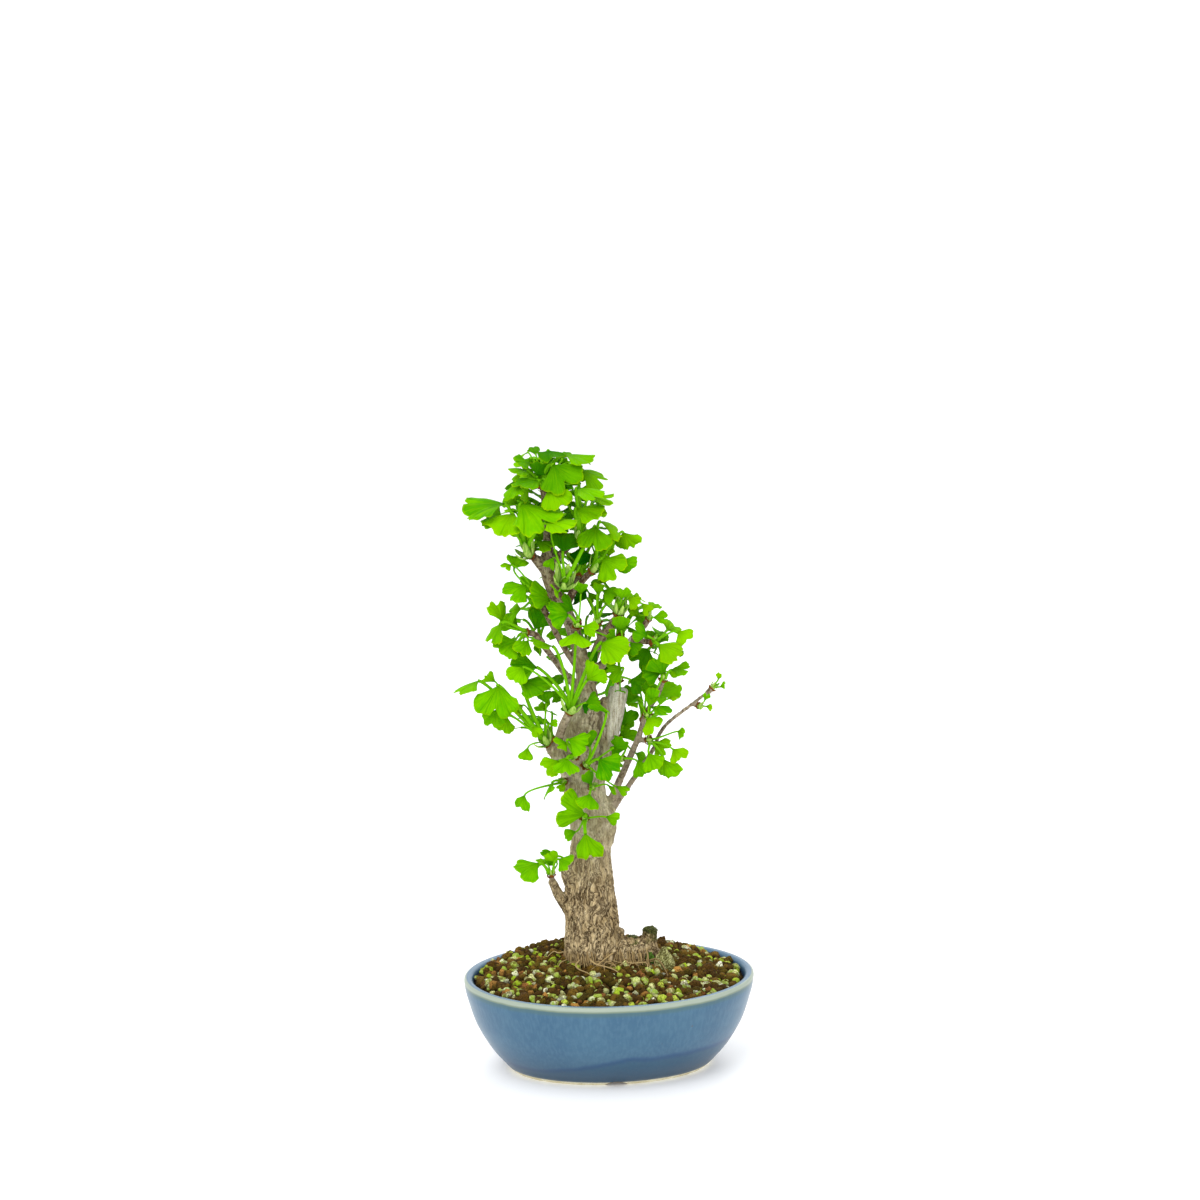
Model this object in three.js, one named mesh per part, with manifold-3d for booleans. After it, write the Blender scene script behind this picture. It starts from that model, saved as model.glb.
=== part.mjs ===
// A ginkgo bonsai in its oval glazed pot, at life size. Millimetres, +Z up, -Y is the front.
// The origin is the centre of the pot's foot, on the surface that the pot stands on.
// The tree is one piece of wood with its roots; each leafy spray is a piece that sits on a spur of it.
import * as THREE from "three";
import { mergeVertices } from "three/addons/utils/BufferGeometryUtils.js";
import Module from "manifold-3d";

const wasm = await Module();
wasm.setup();

// ---- Driving dimensions ----
const gap = 0.3; // between pieces that touch

const pot = {
  length: 200, // over the lip, along X
  width: 160,
  height: 66,
  widthLoss: 1.12, // how much faster the width shrinks than the length, going down
  ovalStart: 60, // half length inside which the oval keeps one shape
  sides: 32,
  floor: 9, // inside floor, above the surface
  recess: 3, // height of the hollow under the foot
  notchWidth: 14, // drain notches in the foot, front and back
  notchHeight: 2.6,
  drainRadius: 8,
  drainSpread: 32, // from the middle to each drain hole
};

const screen = { side: 26, thickness: 1.2, holes: 2, hole: 8, pitch: 10.5 };

const soil = {
  level: 66.5, // height of the bed that the mound is heaped on
  mound: 8, // how much higher the mound's middle is
  moundBack: 15, // how far behind the pot's middle the mound lies
  moundLength: 78, // half length
  tiltBack: 2.2, // the bed rises this much from the middle to the back
  tiltLeft: 1, // and this much to the left
  drop: 2.5, // how far it falls off at the pot's wall
  grain: 9.3, // spacing of the grains in the relief
  relief: 1.5, // how far a grain stands out or sinks in
  jitter: 1.5,
  halfLength: 93,
  halfWidth: 73,
  bottom: 5,
};

const wood = { trunkSides: 14, limbSides: 6, twigSides: 5, ringStep: 20, thick: 3.5, lobe: 0.05 };

const spur = { radius: 2.2, sides: 4, budRadius: 2.5, budSides: 5, bud: 2.6, root: 1.6, start: 2.1 };

const leafShape = {
  stalk: 1, // width of the leaf stalk
  thickness: 0.9, // of a blade, measured along its facing
  small: 10, // blades under this length open less widely
  large: 18, // blades at least this long get more points along the margin
  shortStalk: 14, // stalks under this length are straight
  longStalk: 36, // stalks over this length are bent in two places, and others in one
  spread: [52, 65], // from the blade's middle to its edge, in degrees
  smallSpread: [40, 56],
  notch: [0.08, 0.38], // depth of the cut in the middle of the margin
  cup: [-0.12, 0.14], // rise of the edges over the middle
  droop: [0.04, 0.2], // fall of the margin
  ripple: [0.02, 0.07],
  ripples: 5,
  wedge: 0.15, // how much the blade narrows towards its stalk
  corner: 0.16, // rounding of the two outer corners
  wave: 0.03, // depth of the waves along the margin
  waves: 9,
  leaving: [0.3, 9], // share of the stalk that leaves along the spur, and at most how much
  arriving: [0.3, 5], // the same for its end, along the blade
};

// Rings of a bud scale: [share of its length, half width, distance from the bud's middle].
const budScale = { foot: 1.2, lean: 0.12, thickness: 0.8, rings: [[0, 1.1, 1], [0.5, 1.9, 2.1]], tip: 2.7 };

// Rear sprays open like umbrellas. Ranges are [least, most], and the leaves' lean is in degrees.
const umbrella = {
  lean: [18, 62],
  rise: 0.35,
  stalk: [14, 28],
  pitch: [-0.25, 0.35],
  blade: [11, 19],
  facing: [15, 70],
};

const clearance = {
  rounds: 40,
  bead: 3, // spacing of the beads that stand for a leaf
  otherSpray: 3.4, // least distance from bead to bead
  sameSpray: 2.4,
  freeShare: 0.25, // of a stalk, which may lie against stalks of its own spray
  wood: 1.7, // from the wood's surface to a bead
  free: 4.5, // how far from its seat a stalk may touch the wood
};

// ---- Colours ----
const colours = {
  glaze: [0x3f6a9c, 0.25],
  soil: [0x5a4a2a, 0.95],
  bark: [0x9b8670, 0.9],
  leaf: [0x5fb30f, 0.5],
  stone: [0x8f9263, 0.9],
  screen: [0x1d2a22, 0.6],
};

// ---- The wood: each limb is a line of [x, y, z, radius] along its middle ----
const limbs = {
  trunk: [
    [-10, 10, 42, 15], [-10, 10, 56, 20], [-11, 10, 70, 18.6], [-11, 10, 85, 18.3],
    [-10.7, 10, 103, 18.2], [-11.5, 10, 121, 17.2], [-11, 10, 144, 14], [-10.3, 10, 157, 13.3],
    [-9.5, 10, 165, 15], [-11, 10, 175, 14.2], [-16, 10, 190, 11.8], [-19, 10, 204, 11],
    [-18, 10, 222, 11.6], [-16, 10, 240, 12.2], [-14.8, 10, 254, 11.3], [-13.2, 9.5, 264, 8.6],
    [-12.5, 9, 270, 5],
  ],
  rind: [[-9, 10, 204, 6.5], [-7.5, 9.5, 222, 7.5], [-5, 9, 240, 7.4], [-3.5, 8.5, 254, 5.4]],
  leader: [
    [-14, 9, 252, 7], [-13.5, 8, 268, 5.6], [-15, 8, 285, 5.1], [-24, 6, 315, 4.7], [-34, 5, 334, 4.5],
    [-38, 4, 350, 4.8], [-37, 5, 365, 3.6], [-37, 5, 382, 3], [-39, 6, 401, 2.6],
  ],
  stump: [
    [-3, 10, 156, 8], [0, 9, 172, 7.5], [-4, 9, 188, 5.2], [-5, 9, 202, 5.2],
    [-1, 8.5, 218, 6.6], [3, 8, 233, 6.8], [7, 7, 250, 6.7], [10, 6, 265, 6.6],
  ],
  upright_twig: [
    [1, 9, 172, 4], [3, 8.5, 184, 3.1], [22, 4, 229, 2.3], [28, 2, 248, 2.1], [35, 0, 259, 2.1],
    [38, -2, 268, 2.4],
  ],
  leaning_twig: [
    [2, 10, 170, 4], [6, 9.5, 181, 2.4], [31, 4, 219, 1.9], [37, 2, 233, 1.7], [44, 0, 242, 1.6],
    [60, 0, 254, 1.5], [71, 0, 262, 1.5],
  ],
  left_branch: [
    [-14, 9, 256, 4], [-19, 7, 266, 3], [-25, 4, 274, 2.5], [-37, 0, 291, 2.2], [-47, -3, 306, 2.3],
  ],
  left_riser: [
    [-14, 8, 272, 3.2], [-20, 6, 283, 2.5], [-27, 4, 294, 2.2], [-36, 0, 312, 2], [-42, -1.5, 325, 2.3],
  ],
  right_branch: [
    [-14, 8, 268, 4], [-9, 6, 282, 3.6], [-3, 0, 299, 3.3], [3, -2, 308, 3], [7, -3.5, 314, 2.8],
  ],
  rear_branch: [
    [-12, 9, 262, 4], [-3, 8, 279, 3.2], [8, 6, 290, 2.7], [17, 4, 297, 2.5], [25, 4, 305, 2.2],
    [29, 4, 310, 2.2],
  ],
  rear_fork: [[16, 4, 296, 2.3], [24, 1, 298, 2.1], [29, -1.5, 298, 2.1]],
  left_spur: [[-18, 9, 198, 8], [-29, 4, 213, 5], [-35, -2, 223, 4.4], [-39, -5, 228, 3.6]],
  front_shoot: [[-29, 3, 214, 3.6], [-33, -3, 228, 3.1], [-31, -8, 240, 3], [-27, -13, 251, 3]],
  crown_fork: [[-37, 4, 346, 4.4], [-43, 1, 354, 3.8], [-47, -1.5, 358, 3]],
  crown_twig: [[-37, 4, 348, 3.4], [-29, 2, 359, 2.6], [-21, -1, 367, 2.4]],
  side_twig: [[-27, 6, 320, 3.4], [-20, 3, 334, 2.6], [-11, -1, 345, 2.4]],
  low_stub: [[-14, 11, 94, 8], [-24, 10, 106, 6], [-32, 6, 118, 4.6], [-37, 1, 129, 4.2], [-39, -1, 133, 4]],
  healed_cut: [[-13, 10, 122, 11], [-22, 10, 131, 8.5], [-26, 9.5, 138, 6], [-28, 9, 143, 4]],
};

// Limbs that go into the soil, which is cut to fit them as it is to the trunk.
const roots = {
  right_root: [
    [-6, 7, 71, 13], [4, 6, 76, 13], [13, 6, 77, 12], [21, 6.5, 76.6, 10.9], [27, 8, 75.5, 9.7],
    [33, 9.5, 71, 7.6], [40, 11, 63, 5],
  ],
  root_stump: [[25, 11, 70, 8], [28.5, 12, 81, 6.6], [30, 12, 91, 5.6]],
  root_knob: [[3, 8, 82, 6.5], [7.5, 8, 90, 4.4], [10, 8, 95, 2.6]],
};

const stone = { place: [37.5, -9, 74], half: [8.8, 6.6, 12.2], taper: 0.55, seed: 11 };

// ---- The sprays ----
// foot is the point inside the wood that a spur grows from, and seat is the spur's tip, where the spray sits.
// A leaf is [base x, y, z, tip x, y, z, facing, roll]: base is where its blade begins, tip the middle of its
// margin, and facing the angle between its upper face and straight up, towards the side that the spray is on.
// roll turns the blade about its own length. Angles are in degrees. scales is [count, length] of bud scales.
const sprays = [
  { name: "crown_top", foot: [-39, 6, 397], seat: [-40, 6, 404], leaves: [
    [-49, 2, 422, -58, -4, 425, 35],
    [-44, 8, 427, -45, 16, 432, 30],
    [-36, 0, 429, -34, -14, 425, 10],
    [-27, -2, 425, -8, -10, 424, 6],
    [-26, 10, 423, -26, 18, 429, 30],
    [-35, -8, 419, -25, -22, 405, 75],
    [-41, -8, 411, -55, -18, 411, 12],
    [-56, -4, 411, -65, -10, 402, 50, 45],
    [-49, 0, 417, -57, -8, 418, 25],
    [-35, -16, 408, -29, -26, 395, 80],
    [-44, 2, 414, -41, -2, 423, 70],
    [-18, 8, 407, -15, 8, 413, 70],
  ] },
  { name: "crown_right", foot: [-25, 1, 363], seat: [-19, -2, 369], scales: [3, 9], leaves: [
    [-21, -19, 408, -7, -31, 404, 14],
    [-14, 2, 416, 4, 0, 408, 22],
    [-8, -4, 397, 8, -8, 396, 12],
    [-19, -12, 394, -3, -20, 390, 35],
    [-24, 6, 382, -33, -6, 385, 50],
  ] },
  { name: "crown_left", foot: [-44, 0, 356], seat: [-48, -2, 359], scales: [3, 9], leaves: [
    [-61, -12, 390, -70, -30, 382, 20],
    [-57, -13, 391, -38, -32, 381, 24],
    [-42, -20, 384, -26, -32, 383, 15],
    [-66, -4, 396, -94.5, -9, 394, 14],
    [-65, -8, 386, -79, -2, 386, 35],
    [-58, 4, 394, -66, 8, 400, 40],
  ] },
  { name: "crown_front", foot: [-34, 5, 334], seat: [-29, -14, 341], scales: [3, 11], leaves: [
    [-6, -8, 379, -9.5, -20, 365, 35],
    [-29, -12, 364, -26, -4, 376, 90],
    [-16, -2, 352, -13, 4, 362, 90],
    [-33, -14, 383, -28, -18, 389, 60],
  ] },
  { name: "upper_right", foot: [-16, 1, 340], seat: [-9, -2, 347], scales: [2, 8], leaves: [
    [-1, -8, 357, 10, -16, 347, 70],
    [10, 2, 354, 19, 4, 345, 60, 45],
    [5, 2, 357, 6, 6, 363, 70],
    [-2, 6, 378, 14, 12, 372, 22],
    [15, 12, 372, 20, 14, 359, 40, 50],
  ] },
  { name: "upper_left", foot: [-41, -1, 322], seat: [-43, -2, 328], leaves: [
    [-37, -6, 329, -50, -14, 338, 45],
    [-52, -4, 339, -66, -10, 335, 35],
    [-61, -2, 351, -57, 2, 360, 70],
    [-63, -6, 354, -69, -10, 353, 40],
    [-56, 6, 322, -66, 14, 318, 50],
  ] },
  { name: "left_branch", foot: [-47, -3, 306], seat: [-52, -4, 307], leaves: [
    [-70, -10, 315, -80, -14, 303, 60, 50],
    [-70, -6, 316, -72, -2, 330, 75, 50],
    [-56, 4, 309, -67, 8, 315, 60],
    [-59, -8, 303, -74, -16, 301, 40],
    [-53, -12, 303, -59, -18, 296, 80],
    [-49, 4, 309, -43, 4, 322, 70],
  ] },
  { name: "centre_front", foot: [-22, 6, 309], seat: [-20, -18, 314], leaves: [
    [-25, -18, 320, -39, -24, 325, 45],
    [-22, -8, 323, -32, -10, 331, 50],
    [-17, -16, 335, -17, -18, 343, 85],
    [-16, -22, 312, -7, -28, 310, 40],
  ] },
  { name: "centre_high", foot: [-3, 0, 299], seat: [-5, -4, 311], leaves: [
    [-5, -6, 333, -4, -8, 340, 85],
    [0, -2, 334, 9, -6, 330, 50],
    [-11, 6, 328, -19, 14, 329, 60],
  ] },
  { name: "right_branch", foot: [4, -2, 309], seat: [8, -4, 317], scales: [3, 8], leaves: [
    [11, -6, 328, 12, -8, 336, 85],
    [16, -6, 330, 23, -10, 325, 75],
    [9, 0, 328, 1, 4, 333, 50],
    [26, 0, 324, 32, -2, 318, 50],
  ] },
  { name: "right_upper", foot: [26, 4, 306], seat: [30, 4, 312], leaves: [
    [34, 2, 314, 44, 0, 314, 40],
    [24, 3, 316, 18, 4, 321, 60],
    [33, 14, 317, 37, 22, 320, 40],
  ] },
  { name: "right_outer", foot: [27, -1, 298], seat: [31, -2, 298], leaves: [
    [50, -2, 304, 57, -8, 299, 60],
    [36, -12, 298, 50, -20, 292, 35],
    [26, -10, 304, 17, -14, 310, 60],
    [31, 8, 291, 21, 12, 278, 85],
    [44, 12, 303, 53, 22, 307, 50],
  ] },
  { name: "upright_tip", foot: [37, -1, 265], seat: [39, -2, 271], leaves: [
    [39, -4, 276, 35, -8, 289, 65],
    [45, -6, 279, 57, -12, 280, 20],
    [38, 2, 274, 25, 0, 275, 45],
    [44, 6, 273, 52, 6, 271, 80],
    [31, -7, 259, 33, -8, 267, 80],
  ] },
  { name: "upright_middle", foot: [28, 2, 248], seat: [28, -3, 248], leaves: [
    [28, -8, 247, 34, -14, 239, 88],
    [32, -4, 252, 45, -10, 250, 12],
    [22, -2, 256, 16, -6, 255, 10],
    [33, -3, 256, 36, -2, 265, 70],
    [43, 0, 258, 48, -2, 259, 20],
  ] },
  { name: "upright_low", foot: [22, 4, 229], seat: [28, -3, 230], leaves: [
    [49, -6, 236, 51, -14, 236, 10, 70],
    [33, -4, 228, 42, -8, 223, 75],
    [45, -12, 225, 51, -18, 219, 75],
    [28, -14, 223, 33, -18, 212, 85],
    [38, -10, 218, 42, -12, 204, 85, 45],
  ] },
  { name: "fork_right", foot: [16, 5, 215], seat: [11, -4, 218], leaves: [
    [10, -10, 225, 0, -14, 230, 60],
    [21, -5, 216, 26, -6, 206, 80],
  ] },
  { name: "fork_front", foot: [-17, 6, 214], seat: [-15, -10, 216], leaves: [
    [-6, -18, 221, 5, -24, 212, 75],
    [-12, -12, 229, -16, -14, 239, 75],
    [-2, -26, 255, -8, -34, 265, 5],
    [6, -8, 228, 14, -10, 233, 80],
  ] },
  { name: "middle_front", foot: [-20, 6, 222], seat: [-22, -12, 223], leaves: [
    [-27, -24, 236, -14, -30, 233, 50],
    [-28, -20, 234, -36, -26, 236, 35],
    [-29, -28, 225, -31, -36, 215, 65],
    [-34, -22, 222, -45, -28, 218, 50],
  ] },
  { name: "centre_low", foot: [-28, -11, 248], seat: [-26, -14, 253], scales: [3, 9], leaves: [
    [-37, -20, 299, -52, -26, 303, 8],
    [-22, -24, 312, -24, -38, 306, 40],
    [-4, -22, 302, 11, -32, 295, 42],
    [-14, -22, 277, -5, -30, 287, 80],
    [-47, -8, 284, -64, -12, 288, 40],
    [-57, -18, 286, -64, -24, 278, 85],
  ] },
  { name: "left_low", foot: [-37, -3, 226], seat: [-40, -6, 230], scales: [3, 8], leaves: [
    [-74, -14, 273, -77, -22, 253, 85],
    [-75, -8, 256, -79, -10, 245, 85],
    [-67, -4, 249, -71, -4, 238, 80],
    [-75, 0, 274, -82, 4, 279, 70],
    [-86, -8, 276, -102.5, -14, 272, -4],
    [-56, -4, 257, -62, -8, 254, 80],
    [-51, -18, 245, -47, -22, 240, 80],
    [-54, -6, 228, -56, -8, 219, 88],
    [-39, -14, 246, -34, -18, 248, 60],
    [-57, -6, 274, -41, -16, 268, 25],
  ] },
  { name: "trunk_left", foot: [-22, 6, 203], seat: [-29, -6, 204], leaves: [
    [-39, -14, 207, -47, -20, 198, 30, 60],
    [-30, -12, 204, -33, -16, 200, 60],
    [-57, -16, 197, -61, -18, 187, 80, 50],
  ] },
  { name: "trunk_front", foot: [-13, 6, 177], seat: [-16, -10, 179], leaves: [
    [-17, -19, 183.5, -35, -28, 191, 85],
    [-2, -18, 181, 6, -22, 179, 80],
    [-17, -24, 171, -15, -28, 153, 90, 30],
  ] },
  { name: "trunk_high", foot: [-13, 6, 198], seat: [-11, -8, 200], leaves: [
    [-14, -26, 199, -17, -34, 191, 75],
    [-12, -14, 203, -12, -16, 214, 80, 50],
    [0, -14, 202, 4, -18, 197, 80, 60],
  ] },
  { name: "stub_tip", foot: [-38, 0, 130], seat: [-39, -2, 137], leaves: [
    [-48, -6, 147, -63, -12, 143, 25],
    [-42, 4, 144, -50, 8, 146, 20],
    [-35, -2, 146, -40, 0, 154, 60],
    [-34, -10, 151, -28, -20, 149, 75],
  ] },
  { name: "leaning_tip", foot: [70, 0, 261], seat: [73, 0, 264], leaves: [
    [77, -2, 270, 78, -2, 274, 70],
    [79, 0, 265, 82, -2, 267, 50],
    [76, -4, 268, 78, -6, 269, 50],
  ] },
  { name: "leaning_node", foot: [60, 0, 254], seat: [63, -2, 253], leaves: [
    [67, -2, 255, 69, -2, 260, 70],
    [69, -2, 252, 73, -4, 252, 60],
  ] },
  { name: "stump_rear", foot: [3, 9, 226], seat: [9, 17, 227], leaves: [
    [16, 14, 238, 20, 14, 250, 88],
    [15, 20, 231, 15, 24, 241, 75],
    [13, 14, 229, 21, 16, 236, 80],
    [6, 26, 231, 7, 34, 238, 60],
  ] },
  { name: "stump_top", foot: [6, 7, 258], seat: [9, 0, 271], leaves: [
    [10, -14, 283, 0, -20, 280, 75],
    [13, 6, 272, 23, 8, 266, 80],
    [6, 14, 275, -1, 22, 279, 60],
  ] },
  { name: "branch_bud", foot: [12, 5, 293], seat: [12, -6, 297], leaves: [
    [12, -10, 306, 12, -12, 316, 80],
    [17, -8, 299, 23, -10, 292, 80],
    [7, -10, 304, 2, -14, 310, 70],
  ] },
];

// Sprays at the back, whose leaves are laid round the spur's own line by the golden angle.
const rearSprays = [
  { name: "rear_crown", foot: [-38, 5, 378], seat: [-36, 15, 384], count: 5 },
  { name: "rear_crown_left", foot: [-40, 3, 350], seat: [-47, 15, 358], count: 4 },
  { name: "rear_upper", foot: [-29, 6, 324], seat: [-34, 18, 327], count: 4 },
  { name: "rear_upper_right", foot: [-20, 3, 334], seat: [-16, 18, 340], count: 4 },
  { name: "rear_left_branch", foot: [-36, 0, 290], seat: [-42, 12, 296], count: 4 },
  { name: "rear_centre", foot: [-16, 8, 287], seat: [-12, 20, 292], count: 4 },
  { name: "rear_right_branch", foot: [8, 6, 290], seat: [12, 17, 298], count: 4 },
  { name: "rear_middle", foot: [-16, 10, 246], seat: [-13, 27, 252], count: 4 },
  { name: "rear_low_left", foot: [-18, 10, 218], seat: [-33, 22, 226], count: 5 },
  { name: "rear_stem", foot: [-12, 10, 184], seat: [-9, 27, 190], count: 4 },
  { name: "rear_upright", foot: [24, 3.5, 235], seat: [27, 11, 240], count: 4 },
  { name: "rear_low", foot: [-16, 10, 126], seat: [-20, 29, 132], count: 2 },
];

// ---- Solids from points and from three.js geometries ----
const vec = (p) => new THREE.Vector3(p[0], p[1], p[2]);
const radians = THREE.MathUtils.degToRad;
const between = ([least, most], share) => least + (most - least) * share;

// Numbers from 0 to 1 in a fixed order for each seed.
function stream(seed) {
  let state = seed >>> 0;
  return () => {
    state = (state + 0x6d2b79f5) >>> 0;
    let mixed = state;
    mixed = Math.imul(mixed ^ (mixed >>> 15), mixed | 1);
    mixed ^= mixed + Math.imul(mixed ^ (mixed >>> 7), mixed | 61);
    return ((mixed ^ (mixed >>> 14)) >>> 0) / 4294967296;
  };
}

function solidFrom(geometry) {
  const plain = new THREE.BufferGeometry();
  const source = geometry.index ? geometry.toNonIndexed() : geometry;
  plain.setAttribute("position", source.getAttribute("position"));
  const merged = mergeVertices(plain, 1e-4);
  const kept = [];
  const corners = merged.index.array;
  for (let i = 0; i < corners.length; i += 3) {
    const [a, b, c] = corners.slice(i, i + 3);
    if (a !== b && b !== c && c !== a) kept.push(a, b, c);
  }
  const vertProperties = merged.getAttribute("position").array;
  return new wasm.Manifold(new wasm.Mesh({ numProp: 3, vertProperties, triVerts: new Uint32Array(kept) }));
}

function meshFrom(name, solid, colour) {
  const { vertProperties, triVerts } = solid.getMesh();
  const geometry = new THREE.BufferGeometry();
  geometry.setAttribute("position", new THREE.BufferAttribute(vertProperties, 3));
  geometry.setIndex(new THREE.BufferAttribute(triVerts, 1));
  geometry.computeVertexNormals();
  const [color, roughness] = colour;
  const mesh = new THREE.Mesh(geometry, new THREE.MeshStandardMaterial({ color, roughness, metalness: 0 }));
  mesh.name = name;
  return mesh;
}

// Collects points and triangles of one closed surface.
class Shell {
  points = [];
  corners = [];

  point(p) {
    this.points.push(p.x, p.y, p.z);
    return this.points.length / 3 - 1;
  }

  triangle(a, b, c) {
    this.corners.push(a, b, c);
  }

  quad(a, b, c, d) {
    this.triangle(a, b, c);
    this.triangle(a, c, d);
  }

  // Joins two rings of the same length, the second further along than the first.
  band(low, high) {
    low.forEach((a, i) => {
      const next = (i + 1) % low.length;
      this.quad(a, low[next], high[next], high[i]);
    });
  }

  // Closes a ring with a fan from its middle.
  cap(ring, middle, faceUp) {
    const centre = this.point(middle);
    ring.forEach((a, i) => {
      const b = ring[(i + 1) % ring.length];
      if (faceUp) this.triangle(centre, a, b);
      else this.triangle(centre, b, a);
    });
  }

  solid() {
    const geometry = new THREE.BufferGeometry();
    geometry.setAttribute("position", new THREE.Float32BufferAttribute(this.points, 3));
    geometry.setIndex(this.corners);
    return solidFrom(geometry);
  }
}

const union = (solids) => solids.reduce((sum, one) => sum.add(one));

// The body itself, without loose scraps, and with any hollow that joining has sealed filled in.
const whole = (solid) => solid.decompose().sort((a, b) => b.volume() - a.volume())[0];

// ---- Limbs ----
// The middle line runs through the points as a uniform Catmull-Rom curve, and the radius changes evenly.
function limbSpine(points, rings) {
  const curve = new THREE.CatmullRomCurve3(points.map(vec), false, "catmullrom", 0.5);
  const across = new THREE.Vector3(0, 1, 0);
  const last = points.length - 1;
  const chord = vec(points[last]).sub(vec(points[0])).normalize();
  if (Math.abs(chord.y) > 0.8) across.set(0, 0, 1);
  return Array.from({ length: rings + 1 }, (_, i) => {
    const share = i / rings;
    const step = Math.min(Math.floor(share * last), last - 1);
    const part = share * last - step;
    const radius = points[step][3] * (1 - part) + points[step + 1][3] * part;
    const middle = curve.getPoint(share);
    const ahead = curve.getPoint(Math.min(share + 1e-3, 1)).sub(curve.getPoint(Math.max(share - 1e-3, 0)));
    const forward = ahead.normalize();
    const side = new THREE.Vector3().crossVectors(forward, across).normalize();
    const up = new THREE.Vector3().crossVectors(forward, side);
    return { middle, radius, forward, side, up };
  });
}

// A limb's section is a circle with three and five shallow lobes, which turn slowly along it.
function lobed(radius, angle, along, depth) {
  return radius * (1 + depth * (Math.sin(3 * angle + 2.2 * along) + 0.6 * Math.sin(5 * angle - 1.7 * along)));
}

function limbSolid(points, sides, rings, lobe, swell = 0) {
  const shell = new Shell();
  const spine = limbSpine(points, rings);
  const loops = spine.map(({ middle, radius, side, up }, i) =>
    Array.from({ length: sides }, (_, k) => {
      const angle = (2 * Math.PI * k) / sides;
      const reach = lobed(radius, angle, i / rings, lobe) + swell;
      const offset = side.clone().multiplyScalar(reach * Math.cos(angle));
      offset.addScaledVector(up, reach * Math.sin(angle));
      return shell.point(middle.clone().add(offset));
    }),
  );
  loops.slice(1).forEach((loop, i) => shell.band(loops[i], loop));
  const first = spine[0];
  const end = spine[rings];
  shell.cap(loops[0], first.middle.clone().addScaledVector(first.forward, -swell), false);
  shell.cap(loops[rings], end.middle.clone().addScaledVector(end.forward, swell), true);
  return shell.solid();
}

// ---- Leaves ----
const golden = Math.PI * (3 - Math.sqrt(5));
const reachOf = ([share, most], length) => Math.min(share * length, most);

// A leaf's frame and its own small differences. outward is -1 for a spray at the front and 1 at the back.
function leafFrom(row, spray, outward, draw) {
  const base = vec(row);
  const forward = vec(row.slice(3)).sub(base);
  const radius = forward.length();
  forward.normalize();
  const facing = radians(row[6]);
  const normal = new THREE.Vector3(0, outward * Math.sin(facing), Math.cos(facing));
  normal.addScaledVector(forward, -normal.dot(forward)).normalize();
  normal.applyAxisAngle(forward, radians(row[7] ?? 0));
  const side = new THREE.Vector3().crossVectors(forward, normal);
  const opening = radius < leafShape.small ? leafShape.smallSpread : leafShape.spread;
  const spread = radians(between(opening, draw()));
  const notch = between(leafShape.notch, draw() ** 2);
  const phase = 2 * Math.PI * draw();
  const cup = between(leafShape.cup, draw());
  const droop = between(leafShape.droop, draw());
  const ripple = between(leafShape.ripple, draw());
  const lean = base.clone().sub(spray.seat);
  lean.addScaledVector(spray.axis, -lean.dot(spray.axis)).normalize();
  const start = spray.seat.clone().addScaledVector(spray.axis, spur.start).addScaledVector(lean, spur.root);
  const stalkLength = base.distanceTo(start);
  const leaving = start.clone().addScaledVector(spray.axis, reachOf(leafShape.leaving, stalkLength));
  const shift = new THREE.Vector3();
  const frame = { base, forward, normal, side, start, leaving, shift };
  const leaf = { ...frame, radius, stalkLength, spread, notch, phase, cup, droop, ripple, spray };
  leaf.beads = beadsOf(leaf);
  return leaf;
}

// A point on the middle of a blade, from where the blade begins. share runs from there (0) to the margin (1)
// and turn from the left edge (-1) to the right one (1). The margin waves, has a cut in the middle and round
// corners; the blade cups across, droops towards its margin and ripples.
function bladePoint(leaf, share, turn) {
  const angle = leaf.spread * turn * (1 - leafShape.wedge * (1 - share));
  const cut = leaf.notch * Math.exp(-((turn / 0.12) ** 2)) * share;
  const wave = leafShape.wave * Math.cos(leafShape.waves * turn + leaf.phase) * share;
  const reach = leaf.radius * share * (1 - cut - leafShape.corner * turn ** 6 + wave);
  const across = reach * Math.sin(angle) + 0.5 * leafShape.stalk * turn * (1 - share);
  const folds = leaf.cup * turn * turn * share - leaf.droop * share * share;
  const ripples = leaf.ripple * share * share * Math.sin(leafShape.ripples * turn + leaf.phase);
  const lift = leaf.radius * (folds + ripples);
  const point = leaf.side.clone().multiplyScalar(across);
  point.addScaledVector(leaf.forward, reach * Math.cos(angle));
  return point.addScaledVector(leaf.normal, lift);
}

// The stalk is a cubic Bezier curve: it leaves along the spur and arrives along the blade.
function stalkCurve(leaf) {
  const base = leaf.base.clone().add(leaf.shift);
  const arriving = base.clone().addScaledVector(leaf.forward, -reachOf(leafShape.arriving, leaf.stalkLength));
  return new THREE.CubicBezierCurve3(leaf.start, leaf.leaving, arriving, base);
}

// Beads stand for the leaf while leaves are bent clear: [x, y, z, how far the bead follows the leaf's shift].
function beadsOf(leaf) {
  const beads = [];
  const rows = Math.ceil(leaf.radius / clearance.bead);
  for (let row = 1; row <= rows; row++) {
    const steps = Math.ceil((2 * leaf.spread * leaf.radius * row) / rows / clearance.bead);
    for (let step = 0; step <= steps; step++) {
      const point = bladePoint(leaf, row / rows, (2 * step) / steps - 1).add(leaf.base);
      beads.push([point.x, point.y, point.z, 1]);
    }
  }
  const stalk = stalkCurve(leaf);
  const steps = Math.ceil(leaf.stalkLength / clearance.bead);
  for (let step = 1; step < steps; step++) {
    const share = step / steps;
    const point = stalk.getPoint(share);
    beads.push([point.x, point.y, point.z, share * share * (3 - 2 * share)]);
  }
  return beads;
}

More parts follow.
